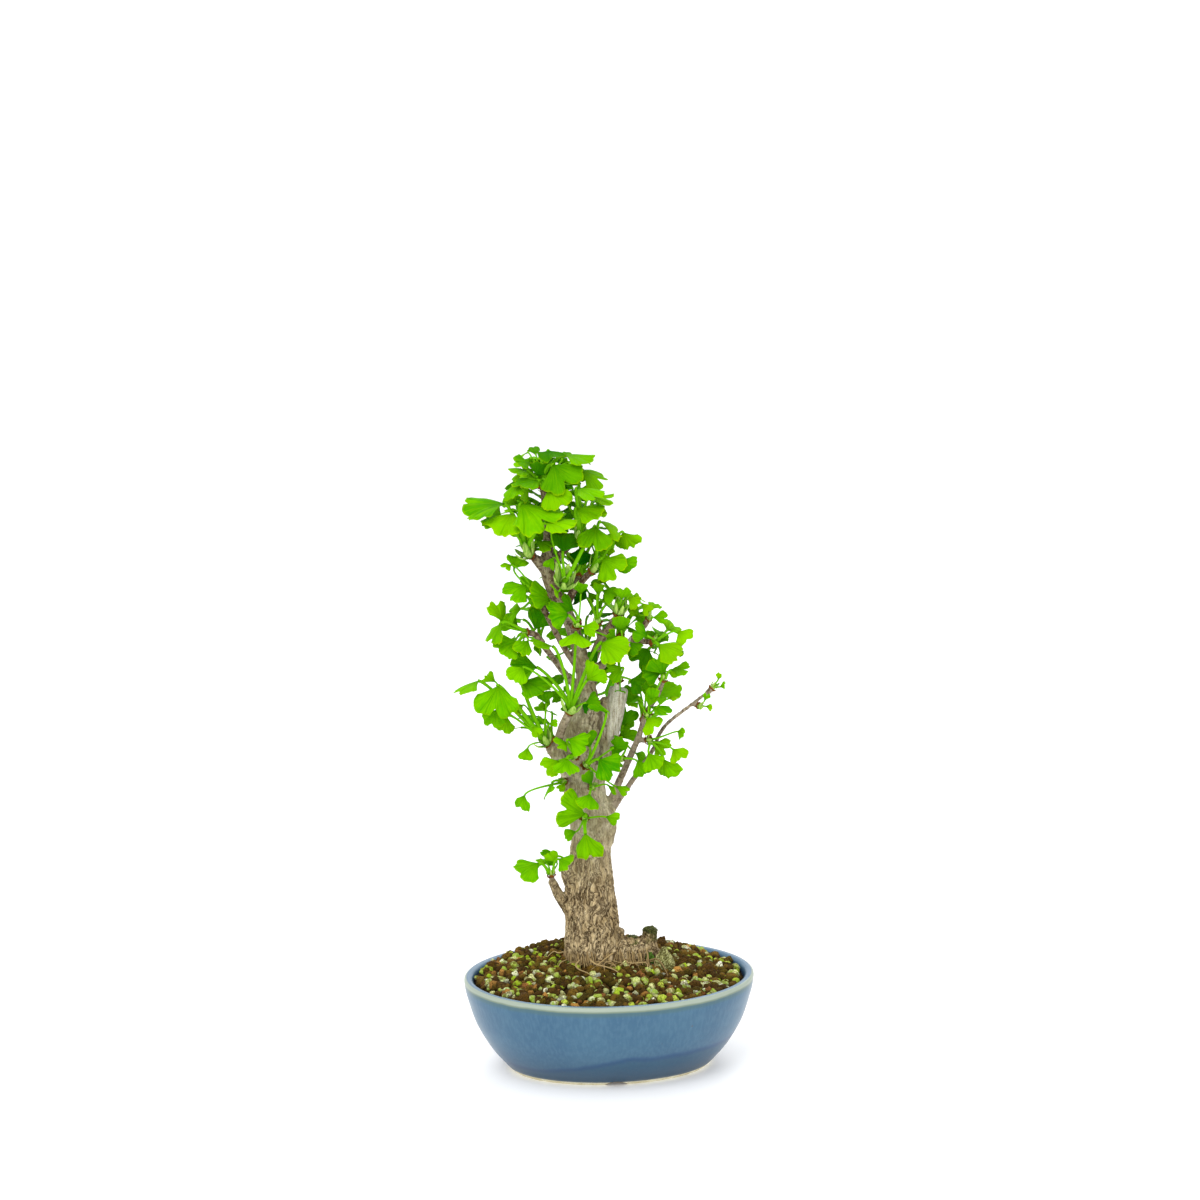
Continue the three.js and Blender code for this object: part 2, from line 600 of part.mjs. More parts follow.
// Moves two things apart by half of what their nearest beads lack, each as far as that bead follows it.
function part(one, other, least, usedOne, usedOther) {
  let nearest = least * least;
  let found = null;
  for (const p of one.beads) {
    if (!usedOne(p)) continue;
    const px = p[0] + p[3] * one.shift.x;
    const py = p[1] + p[3] * one.shift.y;
    const pz = p[2] + p[3] * one.shift.z;
    for (const q of other.beads) {
      if (!usedOther(q)) continue;
      const dx = px - (q[0] + q[3] * other.shift.x);
      const dy = py - (q[1] + q[3] * other.shift.y);
      const dz = pz - (q[2] + q[3] * other.shift.z);
      const square = dx * dx + dy * dy + dz * dz;
      if (square >= nearest) continue;
      nearest = square;
      found = [dx, dy, dz, p[3], q[3]];
    }
  }
  if (!found) return;
  const distance = Math.sqrt(nearest);
  const push = (least - distance) / 2 / distance;
  const away = new THREE.Vector3(found[0], found[1], found[2]);
  one.shift.addScaledVector(away, push * found[3]);
  other.shift.addScaledVector(away, -push * found[4]);
}

// Moves a leaf off the wood and off other sprays' buds, by what its deepest bead lacks.
function leaveWood(leaf, posts) {
  let lack = 0;
  let away = null;
  for (const [x, y, z, follows] of leaf.beads) {
    const bead = new THREE.Vector3(x, y, z).addScaledVector(leaf.shift, follows);
    if (follows < 1 && bead.distanceTo(leaf.spray.seat) < clearance.free) continue;
    for (const post of posts) {
      if (post.spray === leaf.spray) continue;
      const distance = bead.distanceTo(post.middle);
      const wanting = post.radius + clearance.wood - distance;
      if (wanting <= lack) continue;
      lack = wanting;
      away = bead.clone().sub(post.middle).multiplyScalar((wanting * follows) / distance);
    }
  }
  if (away) leaf.shift.add(away);
}

const anyBead = () => true;
const freeBead = (bead) => bead[3] > clearance.freeShare;

// Bends the leaves clear of the wood and of each other, a little in each round.
function bendClear(leaves, posts) {
  const reach = (leaf) => Math.max(...leaf.beads.map((bead) => vec(bead).distanceTo(leaf.base)));
  leaves.forEach((leaf) => (leaf.reach = reach(leaf)));
  for (let round = 0; round < clearance.rounds; round++) {
    leaves.forEach((leaf) => leaveWood(leaf, posts));
    leaves.forEach((one, i) => {
      for (const other of leaves.slice(i + 1)) {
        const apart = one.base.clone().add(one.shift).sub(other.base).sub(other.shift).length();
        if (apart > one.reach + other.reach + clearance.otherSpray) continue;
        const same = one.spray === other.spray;
        const use = same ? freeBead : anyBead;
        part(one, other, same ? clearance.sameSpray : clearance.otherSpray, use, use);
      }
    });
  }
}

// One leaf is one closed surface: a three-sided stalk that widens into a blade, alike on both faces.
function leafSolid(leaf) {
  const shell = new Shell();
  const stalk = stalkCurve(leaf);
  const half = leafShape.stalk / 2;
  const bends = [leafShape.shortStalk, leafShape.longStalk].filter((length) => leaf.stalkLength > length);
  const steps = 1 + bends.length;
  const section = (middle, side, over) =>
    [[-1, 1], [1, 1], [0, -1]].map(([a, b]) => {
      const corner = middle.clone().addScaledVector(side, a * half);
      return shell.point(corner.addScaledVector(over, (b * leafShape.thickness) / 2));
    });
  const base = stalk.getPoint(1);
  const rings = [section(base, leaf.side, leaf.normal)];
  const side = leaf.side.clone();
  for (let step = steps - 1; step >= 0; step--) {
    const middle = stalk.getPoint(step / steps);
    const forward = stalk.getPoint((step + 1) / steps).sub(middle).normalize();
    side.addScaledVector(forward, -side.dot(forward)).normalize();
    const over = new THREE.Vector3().crossVectors(side, forward);
    rings.unshift(section(middle, side, over));
  }
  rings.slice(1).forEach((ring, i) => shell.band(rings[i], ring));
  shell.triangle(...rings[0].toReversed());
  const last = rings[steps];
  const count = leaf.radius < leafShape.large ? 5 : 7;
  const top = [];
  const bottom = [];
  for (let k = 0; k < count; k++) {
    const point = bladePoint(leaf, 1, (2 * k) / (count - 1) - 1).add(base);
    top.push(shell.point(point.clone().addScaledVector(leaf.normal, leafShape.thickness / 2)));
    bottom.push(shell.point(point.clone().addScaledVector(leaf.normal, -leafShape.thickness / 2)));
  }
  const centre = (count - 1) / 2;
  for (let k = 0; k < count - 1; k++) {
    shell.triangle(last[k < centre ? 0 : 1], top[k + 1], top[k]);
    shell.triangle(last[2], bottom[k], bottom[k + 1]);
    shell.quad(top[k], top[k + 1], bottom[k + 1], bottom[k]);
  }
  shell.triangle(last[0], last[1], top[centre]);
  shell.quad(last[2], last[0], top[0], bottom[0]);
  shell.quad(last[1], last[2], bottom.at(-1), top.at(-1));
  return shell.solid();
}

// The direction across a spur's line at an angle round it.
function outwards(spray, round) {
  return spray.right.clone().multiplyScalar(Math.cos(round)).addScaledVector(spray.over, Math.sin(round));
}

// A bud scale is a narrow blade with a blunt tip that stands round the bud.
function scaleSolid(spray, round, length) {
  const shell = new Shell();
  const out = outwards(spray, round);
  const across = new THREE.Vector3().crossVectors(spray.axis, out);
  const middle = (share, stand) => {
    const point = spray.seat.clone().addScaledVector(spray.axis, budScale.foot + share * length);
    return point.addScaledVector(out, stand + budScale.lean * length * share);
  };
  const [low, high] = budScale.rings.map(([share, half, stand]) =>
    [[-1, 1], [1, 1], [1, -1], [-1, -1]].map(([a, b]) => {
      const corner = middle(share, stand).addScaledVector(across, a * half);
      return shell.point(corner.addScaledVector(out, (b * budScale.thickness) / 2));
    }),
  );
  shell.quad(...low.toReversed());
  shell.band(low, high);
  shell.cap(high, middle(1, budScale.tip), true);
  return shell.solid();
}

function budSolid(spray) {
  const bud = new THREE.CylinderGeometry(spur.budRadius, spur.radius, spur.bud, spur.budSides);
  bud.applyQuaternion(new THREE.Quaternion().setFromUnitVectors(new THREE.Vector3(0, 1, 0), spray.axis));
  const middle = spray.seat.clone().addScaledVector(spray.axis, gap + spur.bud / 2);
  bud.translate(middle.x, middle.y, middle.z);
  return solidFrom(bud);
}

// The spur's line, and two directions across it.
function placeSpray({ name, foot, seat, leaves = [], scales = [0, 0], count = 0 }, order) {
  const axis = vec(seat).sub(vec(foot)).normalize();
  const right = new THREE.Vector3().crossVectors(axis, new THREE.Vector3(0.3, 0.2, 1)).normalize();
  const over = new THREE.Vector3().crossVectors(right, axis);
  return { name, foot: vec(foot), seat: vec(seat), axis, right, over, rows: leaves, scales, count, order };
}

// Leaves of a rear spray open round the spur's line, the later ones leaning out further.
function rearRows(spray, draw) {
  return Array.from({ length: spray.count }, (_, k) => {
    const round = golden * k + draw();
    const lean = radians(between(umbrella.lean, (k + 0.5) / spray.count));
    const heading = spray.axis.clone().multiplyScalar(Math.cos(lean));
    heading.addScaledVector(outwards(spray, round), Math.sin(lean));
    heading.z += umbrella.rise;
    heading.normalize();
    const base = spray.seat.clone().addScaledVector(heading, between(umbrella.stalk, draw()));
    const blade = new THREE.Vector3(heading.x, heading.y, between(umbrella.pitch, draw())).normalize();
    const tip = base.clone().addScaledVector(blade, between(umbrella.blade, draw()));
    return [...base.toArray(), ...tip.toArray(), between(umbrella.facing, draw()), 0];
  });
}

// ---- The tree ----
function spurLimb(spray) {
  return [[...spray.foot.toArray(), spur.radius * 0.8], [...spray.seat.toArray(), spur.radius]];
}

function postsAlong(points, spray) {
  const middle = new THREE.CatmullRomCurve3(points.map(vec), false, "catmullrom", 0.5);
  const last = points.length - 1;
  const steps = Math.ceil(middle.getLength() / 3);
  return Array.from({ length: steps + 1 }, (_, i) => {
    const at = (i / steps) * last;
    const step = Math.min(Math.floor(at), last - 1);
    const radius = points[step][3] + (points[step + 1][3] - points[step][3]) * (at - step);
    return { middle: middle.getPoint(i / steps), radius, spray };
  });
}

function limbSolids(group, swell = 0) {
  return Object.entries(group).map(([name, points]) => {
    const thick = Math.max(...points.map((point) => point[3])) > wood.thick;
    const length = new THREE.CatmullRomCurve3(points.map(vec), false, "catmullrom", 0.5).getLength();
    const rings = points.length > 2 ? Math.max(2, Math.round(length / wood.ringStep)) : 1;
    if (name === "trunk") return limbSolid(points, wood.trunkSides, rings, wood.lobe, swell);
    const slim = points.length > 2 ? wood.twigSides : spur.sides;
    return limbSolid(points, thick ? wood.limbSides : slim, rings, 0, swell);
  });
}

// ---- The pot ----
// Half length of the oval at each height: up the outside, over the lip, and down the inside.
const outside = [[67.5, 0], [73.5, 6.2], [82.6, 17.4], [92.2, 34.5], [98.2, 53], [100.4, 62.4]];
const lip = [[98.8, pot.height], [95.6, pot.height], [94, 62.6]];
const inside = [[91.4, 51], [84, 31], [75, 16], [66, pot.floor]];
const underside = [[59.5, pot.recess], [61.5, 0]];

// Presses a round lathe turning into the pot's oval.
function oval(profile, sides) {
  const turned = new THREE.LatheGeometry(profile.map(([a, z]) => new THREE.Vector2(a, z)), sides);
  turned.rotateX(Math.PI / 2);
  const place = turned.getAttribute("position");
  const halfLength = pot.length / 2;
  for (let i = 0; i < place.count; i++) {
    const reach = Math.max(Math.hypot(place.getX(i), place.getY(i)), pot.ovalStart);
    const width = pot.width / 2 - pot.widthLoss * (halfLength - reach);
    place.setY(i, (place.getY(i) * width) / reach);
  }
  return solidFrom(turned);
}

function cylinder(radius, height, x, y, z) {
  const round = new THREE.CylinderGeometry(radius, radius, height, 16);
  round.rotateX(Math.PI / 2);
  round.translate(x, y, z);
  return solidFrom(round);
}

function box(width, depth, height, x, y, z) {
  return solidFrom(new THREE.BoxGeometry(width, depth, height).translate(x, y, z));
}

function potSolid() {
  const profile = [[0, pot.recess], ...underside, ...outside, ...lip, ...inside, [0, pot.floor]];
  let body = oval(profile, pot.sides);
  const rise = pot.notchHeight;
  const arc = ((pot.notchWidth / 2) ** 2 + rise ** 2) / (2 * rise);
  const notch = new THREE.CylinderGeometry(arc, arc, pot.width, 24).translate(0, 0, rise - arc);
  body = body.subtract(solidFrom(notch));
  for (const x of [-pot.drainSpread, pot.drainSpread])
    body = body.subtract(cylinder(pot.drainRadius, 4 * pot.floor, x, 0, 0));
  return body;
}

// The space inside the pot, a gap clear of its walls and floor.
function potHollow() {
  const wall = inside.toReversed().map(([a, z]) => [a - gap, z + (z === pot.floor ? gap : 0)]);
  const rim = lip[2][0] - gap;
  return oval([[0, pot.floor + gap], ...wall, [rim, lip[2][1]], [rim + 3, 100], [0, 100]], pot.sides);
}

// ---- The soil: a mound whose relief is its grains ----
const soilHeight = (x, y) => {
  const reach = (x / soil.moundLength) ** 2 + ((y - soil.moundBack) / soil.halfWidth) ** 2;
  const wall = Math.min((x / soil.halfLength) ** 2 + (y / soil.halfWidth) ** 2, 1);
  const tilt = (soil.tiltBack * y) / soil.halfWidth - (soil.tiltLeft * x) / soil.halfLength;
  return soil.level + tilt + soil.mound * Math.max(1 - reach, 0) - soil.drop * wall ** 6;
};

function soilSolid(cutters) {
  const draw = stream(3);
  const shell = new Shell();
  const rowPitch = (soil.grain * Math.sqrt(3)) / 2;
  const rows = 2 * Math.ceil(soil.halfWidth / rowPitch) + 3;
  const columns = 2 * Math.ceil(soil.halfLength / soil.grain) + 3;
  const top = [];
  for (let row = 0; row < rows; row++)
    top.push(
      Array.from({ length: columns }, (_, column) => {
        const x = (column - (columns - 1) / 2 + (row % 2) / 2) * soil.grain + soil.jitter * (2 * draw() - 1);
        const y = (row - (rows - 1) / 2) * rowPitch + soil.jitter * (2 * draw() - 1);
        return shell.point(new THREE.Vector3(x, y, soilHeight(x, y) + soil.relief * (2 * draw() - 1)));
      }),
    );
  for (let row = 0; row < rows - 1; row++)
    for (let k = 0; k < columns - 1; k++) {
      const [a, b, c, d] = [top[row][k], top[row][k + 1], top[row + 1][k + 1], top[row + 1][k]];
      if (row % 2) shell.quad(d, a, b, c);
      else shell.quad(a, b, c, d);
    }
  const edge = [
    ...top[0],
    ...top.slice(1, -1).map((row) => row.at(-1)),
    ...top.at(-1).toReversed(),
    ...top.slice(1, -1).reverse().map((row) => row[0]),
  ];
  const low = edge.map((at) =>
    shell.point(new THREE.Vector3(shell.points[3 * at], shell.points[3 * at + 1], soil.bottom)),
  );
  shell.band(low, edge);
  shell.cap(low, new THREE.Vector3(0, 0, soil.bottom), false);
  const filled = shell.solid().intersect(potHollow());
  return whole(cutters.reduce((body, cutter) => body.subtract(cutter), filled));
}

// ---- Drain screens: squares of mesh that keep the soil in over each hole ----
const screenHeight = pot.floor + gap + screen.thickness / 2;

function screenSolid(x) {
  let plate = box(screen.side, screen.side, screen.thickness, x, 0, screenHeight);
  for (let i = 0; i < screen.holes; i++)
    for (let j = 0; j < screen.holes; j++) {
      const across = (i - (screen.holes - 1) / 2) * screen.pitch;
      const along = (j - (screen.holes - 1) / 2) * screen.pitch;
      const punch = box(screen.hole, screen.hole, 2 * screen.thickness, x + across, along, screenHeight);
      plate = plate.subtract(punch);
    }
  return plate;
}

function screenPocket(x) {
  const side = screen.side + 2 * gap;
  const height = screen.thickness + 2 * gap;
  return box(side, side, height, x, 0, pot.floor + gap + height / 2 - 0.1);
}

// ---- The stone: a rough wedge, sunk into the soil ----
function stoneSolid(swell = 0) {
  const draw = stream(stone.seed);
  const ball = new THREE.IcosahedronGeometry(1, 1).deleteAttribute("normal").deleteAttribute("uv");
  const lump = mergeVertices(ball, 1e-3);
  const place = lump.getAttribute("position");
  for (let i = 0; i < place.count; i++) {
    const point = new THREE.Vector3().fromBufferAttribute(place, i).multiplyScalar(0.86 + 0.28 * draw());
    point.x *= 1 - stone.taper * Math.max(point.z, 0);
    point.y *= 1 - stone.taper * Math.max(point.z, 0);
    point.multiply(vec(stone.half).addScalar(swell));
    place.setXYZ(i, point.x, point.y, point.z);
  }
  return solidFrom(lump.translate(...stone.place));
}

// ---- Assembly ----
const placed = [...sprays, ...rearSprays].map(placeSpray);
const spurs = Object.fromEntries(placed.map((spray) => [spray.name, spurLimb(spray)]));
const tree = whole(union([limbs, roots, spurs].flatMap((group) => limbSolids(group))));

const leaves = placed.flatMap((spray) => {
  const draw = stream(100 + spray.order);
  const rear = spray.count > 0;
  const rows = rear ? rearRows(spray, draw) : spray.rows;
  return rows.map((row) => leafFrom(row, spray, rear ? 1 : -1, draw));
});
const mainLimbs = [limbs, roots].flatMap((group) => Object.values(group));
const woodPosts = mainLimbs.flatMap((points) => postsAlong(points));
const budPosts = placed.map((spray) => ({
  middle: spray.seat.clone().addScaledVector(spray.axis, 1),
  radius: spur.radius + 0.6,
  spray,
}));
const spurPosts = placed.flatMap((spray) => postsAlong(spurs[spray.name], spray));
bendClear(leaves, [...woodPosts, ...spurPosts, ...budPosts]);

const bonsai = new THREE.Group();
bonsai.name = "ginkgo_bonsai";
const drains = [["drain_screen_left", -pot.drainSpread], ["drain_screen_right", pot.drainSpread]];
bonsai.add(meshFrom("pot", potSolid(), colours.glaze));
drains.forEach(([name, x]) => bonsai.add(meshFrom(name, screenSolid(x), colours.screen)));
const cutters = [
  ...limbSolids({ trunk: limbs.trunk, ...roots }, gap),
  stoneSolid(gap),
  ...drains.map(([, x]) => screenPocket(x)),
];
bonsai.add(meshFrom("soil", soilSolid(cutters), colours.soil));
bonsai.add(meshFrom("stone", stoneSolid(), colours.stone));
bonsai.add(meshFrom("tree", tree, colours.bark));
for (const spray of placed) {
  const own = leaves.filter((leaf) => leaf.spray === spray);
  const [scaleCount, scaleLength] = spray.scales;
  const scaled = Array.from({ length: scaleCount }, (_, k) =>
    scaleSolid(spray, (2 * Math.PI * (k + 0.5)) / scaleCount, scaleLength),
  );
  const solid = whole(union([budSolid(spray), ...own.map(leafSolid), ...scaled]));
  bonsai.add(meshFrom(`spray_${spray.name}`, solid, colours.leaf));
}

export default bonsai;
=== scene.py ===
import bpy
import math
import numpy as np
from mathutils import Matrix, Vector


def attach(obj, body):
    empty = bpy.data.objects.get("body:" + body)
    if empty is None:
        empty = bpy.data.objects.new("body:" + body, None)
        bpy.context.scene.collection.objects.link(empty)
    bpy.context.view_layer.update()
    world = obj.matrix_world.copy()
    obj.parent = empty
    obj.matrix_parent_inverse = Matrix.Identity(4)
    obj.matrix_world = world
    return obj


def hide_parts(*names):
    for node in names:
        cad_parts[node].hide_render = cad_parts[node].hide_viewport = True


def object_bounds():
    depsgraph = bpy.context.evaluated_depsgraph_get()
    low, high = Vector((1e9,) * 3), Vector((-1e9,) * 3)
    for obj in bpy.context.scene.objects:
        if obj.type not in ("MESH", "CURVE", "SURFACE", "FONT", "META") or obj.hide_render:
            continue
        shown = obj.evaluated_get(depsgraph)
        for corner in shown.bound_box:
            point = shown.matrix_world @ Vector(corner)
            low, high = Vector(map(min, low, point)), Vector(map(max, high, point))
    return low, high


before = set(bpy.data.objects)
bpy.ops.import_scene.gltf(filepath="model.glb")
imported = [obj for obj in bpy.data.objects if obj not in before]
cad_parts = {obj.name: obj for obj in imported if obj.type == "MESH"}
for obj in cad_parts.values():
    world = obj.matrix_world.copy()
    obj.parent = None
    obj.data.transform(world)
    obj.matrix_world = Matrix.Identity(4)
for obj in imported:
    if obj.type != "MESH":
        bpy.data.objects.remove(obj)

# A ginkgo bonsai in its glazed pot. Lengths below are millimetres in the frame of the model, and
# every mesh is divided by a thousand when it is made, because the scene is in metres.
cadBox = [list(corner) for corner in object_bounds()]
scene = bpy.context.scene


def newObject(name, data):
    made = bpy.data.objects.new(name, data)
    scene.collection.objects.link(made)
    return made


# The camera looks down on the pot a little from the left. Its reach, near and far, is in metres.
view = {"pitch": 9.8, "azimuth": -5.0, "roll": 0.8, "lens": 86.0, "sensor": 36,
        "near": 0.05, "far": 30, "place": (-169.2, -1903.05, 657.4)}


def placeCamera():
    # forward is the level direction turned by the azimuth and then tipped down by the pitch
    pitch, turn, roll = (math.radians(view[key]) for key in ("pitch", "azimuth", "roll"))
    level = np.array([-math.sin(turn), math.cos(turn), 0.0])
    across = np.array([math.cos(turn), math.sin(turn), 0.0])
    forward = level * math.cos(pitch) - np.array([0, 0, math.sin(pitch)])
    upward = np.cross(across, forward)
    rightAxis = across * math.cos(roll) - upward * math.sin(roll)
    upAxis = upward * math.cos(roll) + across * math.sin(roll)
    lens = bpy.data.cameras.new("camera")
    lens.sensor_width = view["sensor"]
    lens.lens = view["lens"]
    lens.clip_start, lens.clip_end = view["near"], view["far"]
    camera = newObject("camera", lens)
    place = np.array(view["place"]) / 1000
    rows = np.column_stack([rightAxis, upAxis, -forward, place])
    camera.matrix_world = Matrix([list(row) for row in rows] + [[0, 0, 0, 1]])
    scene.camera = camera


# Places and sizes of the lamps are in metres, their power in watts.
studio = {"aim": (0, 0, 0.2), "sky": 1.0, "lamps": {
    "key": {"place": (-0.9, -1.5, 1.9), "size": 1.6, "power": 30},
    "fill": {"place": (1.6, -1.2, 1.0), "size": 1.8, "power": 7},
    "back": {"place": (0.5, 1.6, 1.5), "size": 1.4, "power": 10}}}


def placeLamps():
    for name, lamp in studio["lamps"].items():
        light = bpy.data.lights.new(name, "AREA")
        light.energy = lamp["power"]
        light.size = lamp["size"]
        holder = newObject(name, light)
        holder.location = lamp["place"]
        aim = np.array(studio["aim"]) - lamp["place"]
        holder.rotation_euler = Vector(aim).to_track_quat("-Z", "Y").to_euler()
    world = bpy.data.worlds.new("studio")
    world.use_nodes = True
    backdrop = world.node_tree.nodes["Background"]
    backdrop.inputs["Color"].default_value = (1, 1, 1, 1)
    backdrop.inputs["Strength"].default_value = studio["sky"]
    scene.world = world
    scene.view_settings.view_transform = "Standard"


placeCamera()
placeLamps()


class Shade:
    # wraps one socket of a material, so that sums and products of these become Math nodes
    def __init__(self, tree, socket=None):
        self.tree, self.socket = tree, socket

    def node(self, kind, settings=None, inputs=None, out=0):
        made = self.tree.nodes.new(kind)
        for key, value in (settings or {}).items():
            setattr(made, key, value)
        for key, value in (inputs or {}).items():
            fits = [s for s in made.inputs if s.enabled and key in (s.name, s.identifier)]
            socket = made.inputs[key] if isinstance(key, int) else fits[0]
            if isinstance(value, Shade):
                self.tree.links.new(value.socket, socket)
            else:
                socket.default_value = value
        outs = [s for s in made.outputs if s.enabled]
        found = outs[out] if isinstance(out, int) else [s for s in outs if s.name == out][0]
        return Shade(self.tree, found)

    def maths(self, operation, *values):
        return self.node("ShaderNodeMath", {"operation": operation}, dict(enumerate(values)))

    def __add__(self, other):
        return self.maths("ADD", self, other)

    def __radd__(self, other):
        return self.maths("ADD", other, self)

    def __sub__(self, other):
        return self.maths("SUBTRACT", self, other)

    def __rsub__(self, other):
        return self.maths("SUBTRACT", other, self)

    def __mul__(self, other):
        return self.maths("MULTIPLY", self, other)

    def __rmul__(self, other):
        return self.maths("MULTIPLY", other, self)


def fromScreen(r, g, b):
    # sRGB from 0 to 255 into the linear values that sockets hold
    return tuple(((c / 255 + 0.055) / 1.055) ** 2.4 if c > 10 else c / 255 / 12.92 for c in (r, g, b))


def palette(**tones):
    return {name: fromScreen(*tone) for name, tone in tones.items()}


def newMaterial(name, fixed):
    # fixed numbers are set straight on the shader's sockets
    material = bpy.data.materials.new(name)
    material.use_nodes = True
    tree = material.node_tree
    shader = tree.nodes["Principled BSDF"]
    for key, value in fixed.items():
        shader.inputs[key].default_value = value
    return material, Shade(tree), shader


def feed(shade, shader, values):
    # links worked out values to the sockets of these names
    for key, value in values.items():
        shade.tree.links.new(value.socket, shader.inputs[key])


def blend(factor, low, high):
    # a colour from low to high by a factor from 0 to 1
    low, high = (c if isinstance(c, Shade) else (*c, 1) for c in (low, high))
    inputs = {"Factor_Float": factor, "A_Color": low, "B_Color": high}
    return factor.node("ShaderNodeMix", {"data_type": "RGBA"}, inputs, "Result")


def layered(tone, tones, *layers):
    # lays colours of a palette over a tone in turn: each layer is the colour's name and its share
    for name, share in layers:
        tone = blend(share, tone, tones[name])
    return tone


def steps(value, low, high):
    # 0 below low and 1 above high, smooth between
    settings = {"interpolation_type": "SMOOTHSTEP"}
    inputs = {"Value": value, "From Min": low, "From Max": high}
    return value.node("ShaderNodeMapRange", settings, inputs)


def objectPlace(shade, stretch=(1, 1, 1)):
    place = shade.node("ShaderNodeTexCoord", out="Object")
    return shade.node("ShaderNodeMapping", None, {"Vector": place, "Scale": stretch})


def grainNoise(place, scale, detail=3, rough=0.55):
    inputs = {"Vector": place, "Scale": scale, "Detail": detail, "Roughness": rough}
    return place.node("ShaderNodeTexNoise", None, inputs)


def relief(shade, height, distance, strength=1.0):
    return shade.node("ShaderNodeBump", None,
                      {"Strength": strength, "Distance": distance, "Height": height})


def ownAttribute(shade, name, out="Vector"):
    return shade.node("ShaderNodeAttribute", {"attribute_name": name}, None, out)


def parts(vector):
    return [vector.node("ShaderNodeSeparateXYZ", None, {"Vector": vector}, axis) for axis in "XYZ"]


def stream(seed):
    # numbers from 0 to 1 in a fixed order for each seed
    state = seed

    def draw():
        nonlocal state
        state = (state + 0x6D2B79F5) & 0xFFFFFFFF
        mixed = ((state ^ (state >> 15)) * (state | 1)) & 0xFFFFFFFF
        turned = ((mixed ^ (mixed >> 7)) * (mixed | 61)) & 0xFFFFFFFF
        mixed ^= (mixed + turned) & 0xFFFFFFFF
        return (mixed ^ (mixed >> 14)) / 4294967296
    return draw


def between(span, share):
    return span[0] + (span[1] - span[0]) * share


def ramp(value, zero, one):
    # 0 up to one value, 1 from another on and straight between
    return np.clip((value - zero) / (one - zero), 0, 1)


def latticeNoise(points, seed=0):
    # value noise from -1 to 1: each lattice corner has a hashed value, and the eight round a point
    # are mixed by the smoothed shares 3f^2 - 2f^3 of its place between them
    cell = np.floor(points).astype(np.int64)
    share = points - cell
    share = share * share * (3 - 2 * share)

    def corner(x, y, z):
        mixed = (cell[:, 0] + x) * 374761393 + (cell[:, 1] + y) * 668265263
        mixed = (mixed + (cell[:, 2] + z) * 2147483647 + seed * 144269504) & 0xFFFFFFFF
        mixed = ((mixed ^ (mixed >> 13)) * 1274126177) & 0xFFFFFFFF
        mixed = ((mixed ^ (mixed >> 16)) * 2246822519) & 0xFFFFFFFF
        return ((mixed ^ (mixed >> 15)) & 0xFFFF) / 32767.5 - 1

    total = 0
    for x in (0, 1):
        for y in (0, 1):
            for z in (0, 1):
                weight = (share[:, 0] if x else 1 - share[:, 0])
                weight = weight * (share[:, 1] if y else 1 - share[:, 1])
                total = total + weight * (share[:, 2] if z else 1 - share[:, 2]) * corner(x, y, z)
    return total


def layeredNoise(points, layers, seed=0):
    # each layer has twice the detail and half the weight of the one before
    return sum(latticeNoise(points * 2 ** k + 17.3 * k, seed + k) / 2 ** k for k in range(layers))


def ridgeNoise(points, layers, seed, width):
    # 1 where layered noise crosses its middle value, falling off within a width on both sides
    return np.exp(-(np.abs(layeredNoise(points, layers, seed)) / width) ** 2)


def unit(vectors):
    vectors = np.asarray(vectors, float)
    return vectors / np.maximum(np.linalg.norm(vectors, axis=-1, keepdims=True), 1e-12)


def curveAt(points, shares):
    # uniform Catmull-Rom curve through the points, whose ends go on straight
    rows = np.asarray([point[:3] for point in points], float)
    padded = np.vstack([2 * rows[0] - rows[1], rows, 2 * rows[-1] - rows[-2]])
    at = np.clip(shares, 0, 1) * (len(rows) - 1)
    step = np.minimum(np.floor(at).astype(int), len(rows) - 2)
    part = (at - step)[:, None]
    before, first, second, after = (padded[step + k] for k in range(4))
    leave, arrive = (second - before) / 2, (after - first) / 2
    square = 2 * leave + arrive
    cube = leave + arrive
    return (first + leave * part + (3 * (second - first) - square) * part ** 2
            + (2 * (first - second) + cube) * part ** 3)


def curveLength(points):
    return np.linalg.norm(np.diff(curveAt(points, np.arange(201) / 200), axis=0), axis=1).sum()


def aroundTurn(sides):
    return np.arange(sides) * 2 * math.pi / sides


def ringFaces(rings, sides):
    # squares between rings that follow one another, each ring running round against the clock
    low = np.arange(rings - 1)[:, None] * sides
    here = np.arange(sides)[None]
    there = (here + 1) % sides
    faces = np.stack([low + here, low + there, low + sides + there, low + sides + here], -1)
    return faces.reshape(-1, 4)


def capFaces(ringStart, sides, middle, faceUp):
    here = ringStart + np.arange(sides)
    there = ringStart + (np.arange(sides) + 1) % sides
    centre = np.full(sides, middle)
    return np.stack([centre, here, there] if faceUp else [centre, there, here], -1)


def closedFaces(rings, sides, turned=False):
    # rings closed by two caps, whose middles are the last two points. Turned faces look the other way.
    count = rings * sides
    faces = [ringFaces(rings, sides), capFaces(0, sides, count, False),
             capFaces(count - sides, sides, count + 1, True)]
    return [face[:, ::-1] for face in faces] if turned else faces


def closedTube(middles, radii, across, sides, section=None):
    # rings round a line: radius * (side cos a + up sin a), where side and up are square to the line
    ahead = unit(np.gradient(middles, axis=0))
    side = unit(np.cross(ahead, across))
    up = np.cross(ahead, side)
    angle = aroundTurn(sides)
    reach = np.asarray(radii, float)[:, None] * np.ones(sides)
    if section is not None:
        reach = reach * section(angle[None], np.linspace(0, 1, len(middles))[:, None])
    rings = (middles[:, None] + reach[..., None] * (side[:, None] * np.cos(angle)[None, :, None]
             + up[:, None] * np.sin(angle)[None, :, None]))
    points = np.vstack([rings.reshape(-1, 3), middles[:1], middles[-1:]])
    return points, closedFaces(len(middles), sides)


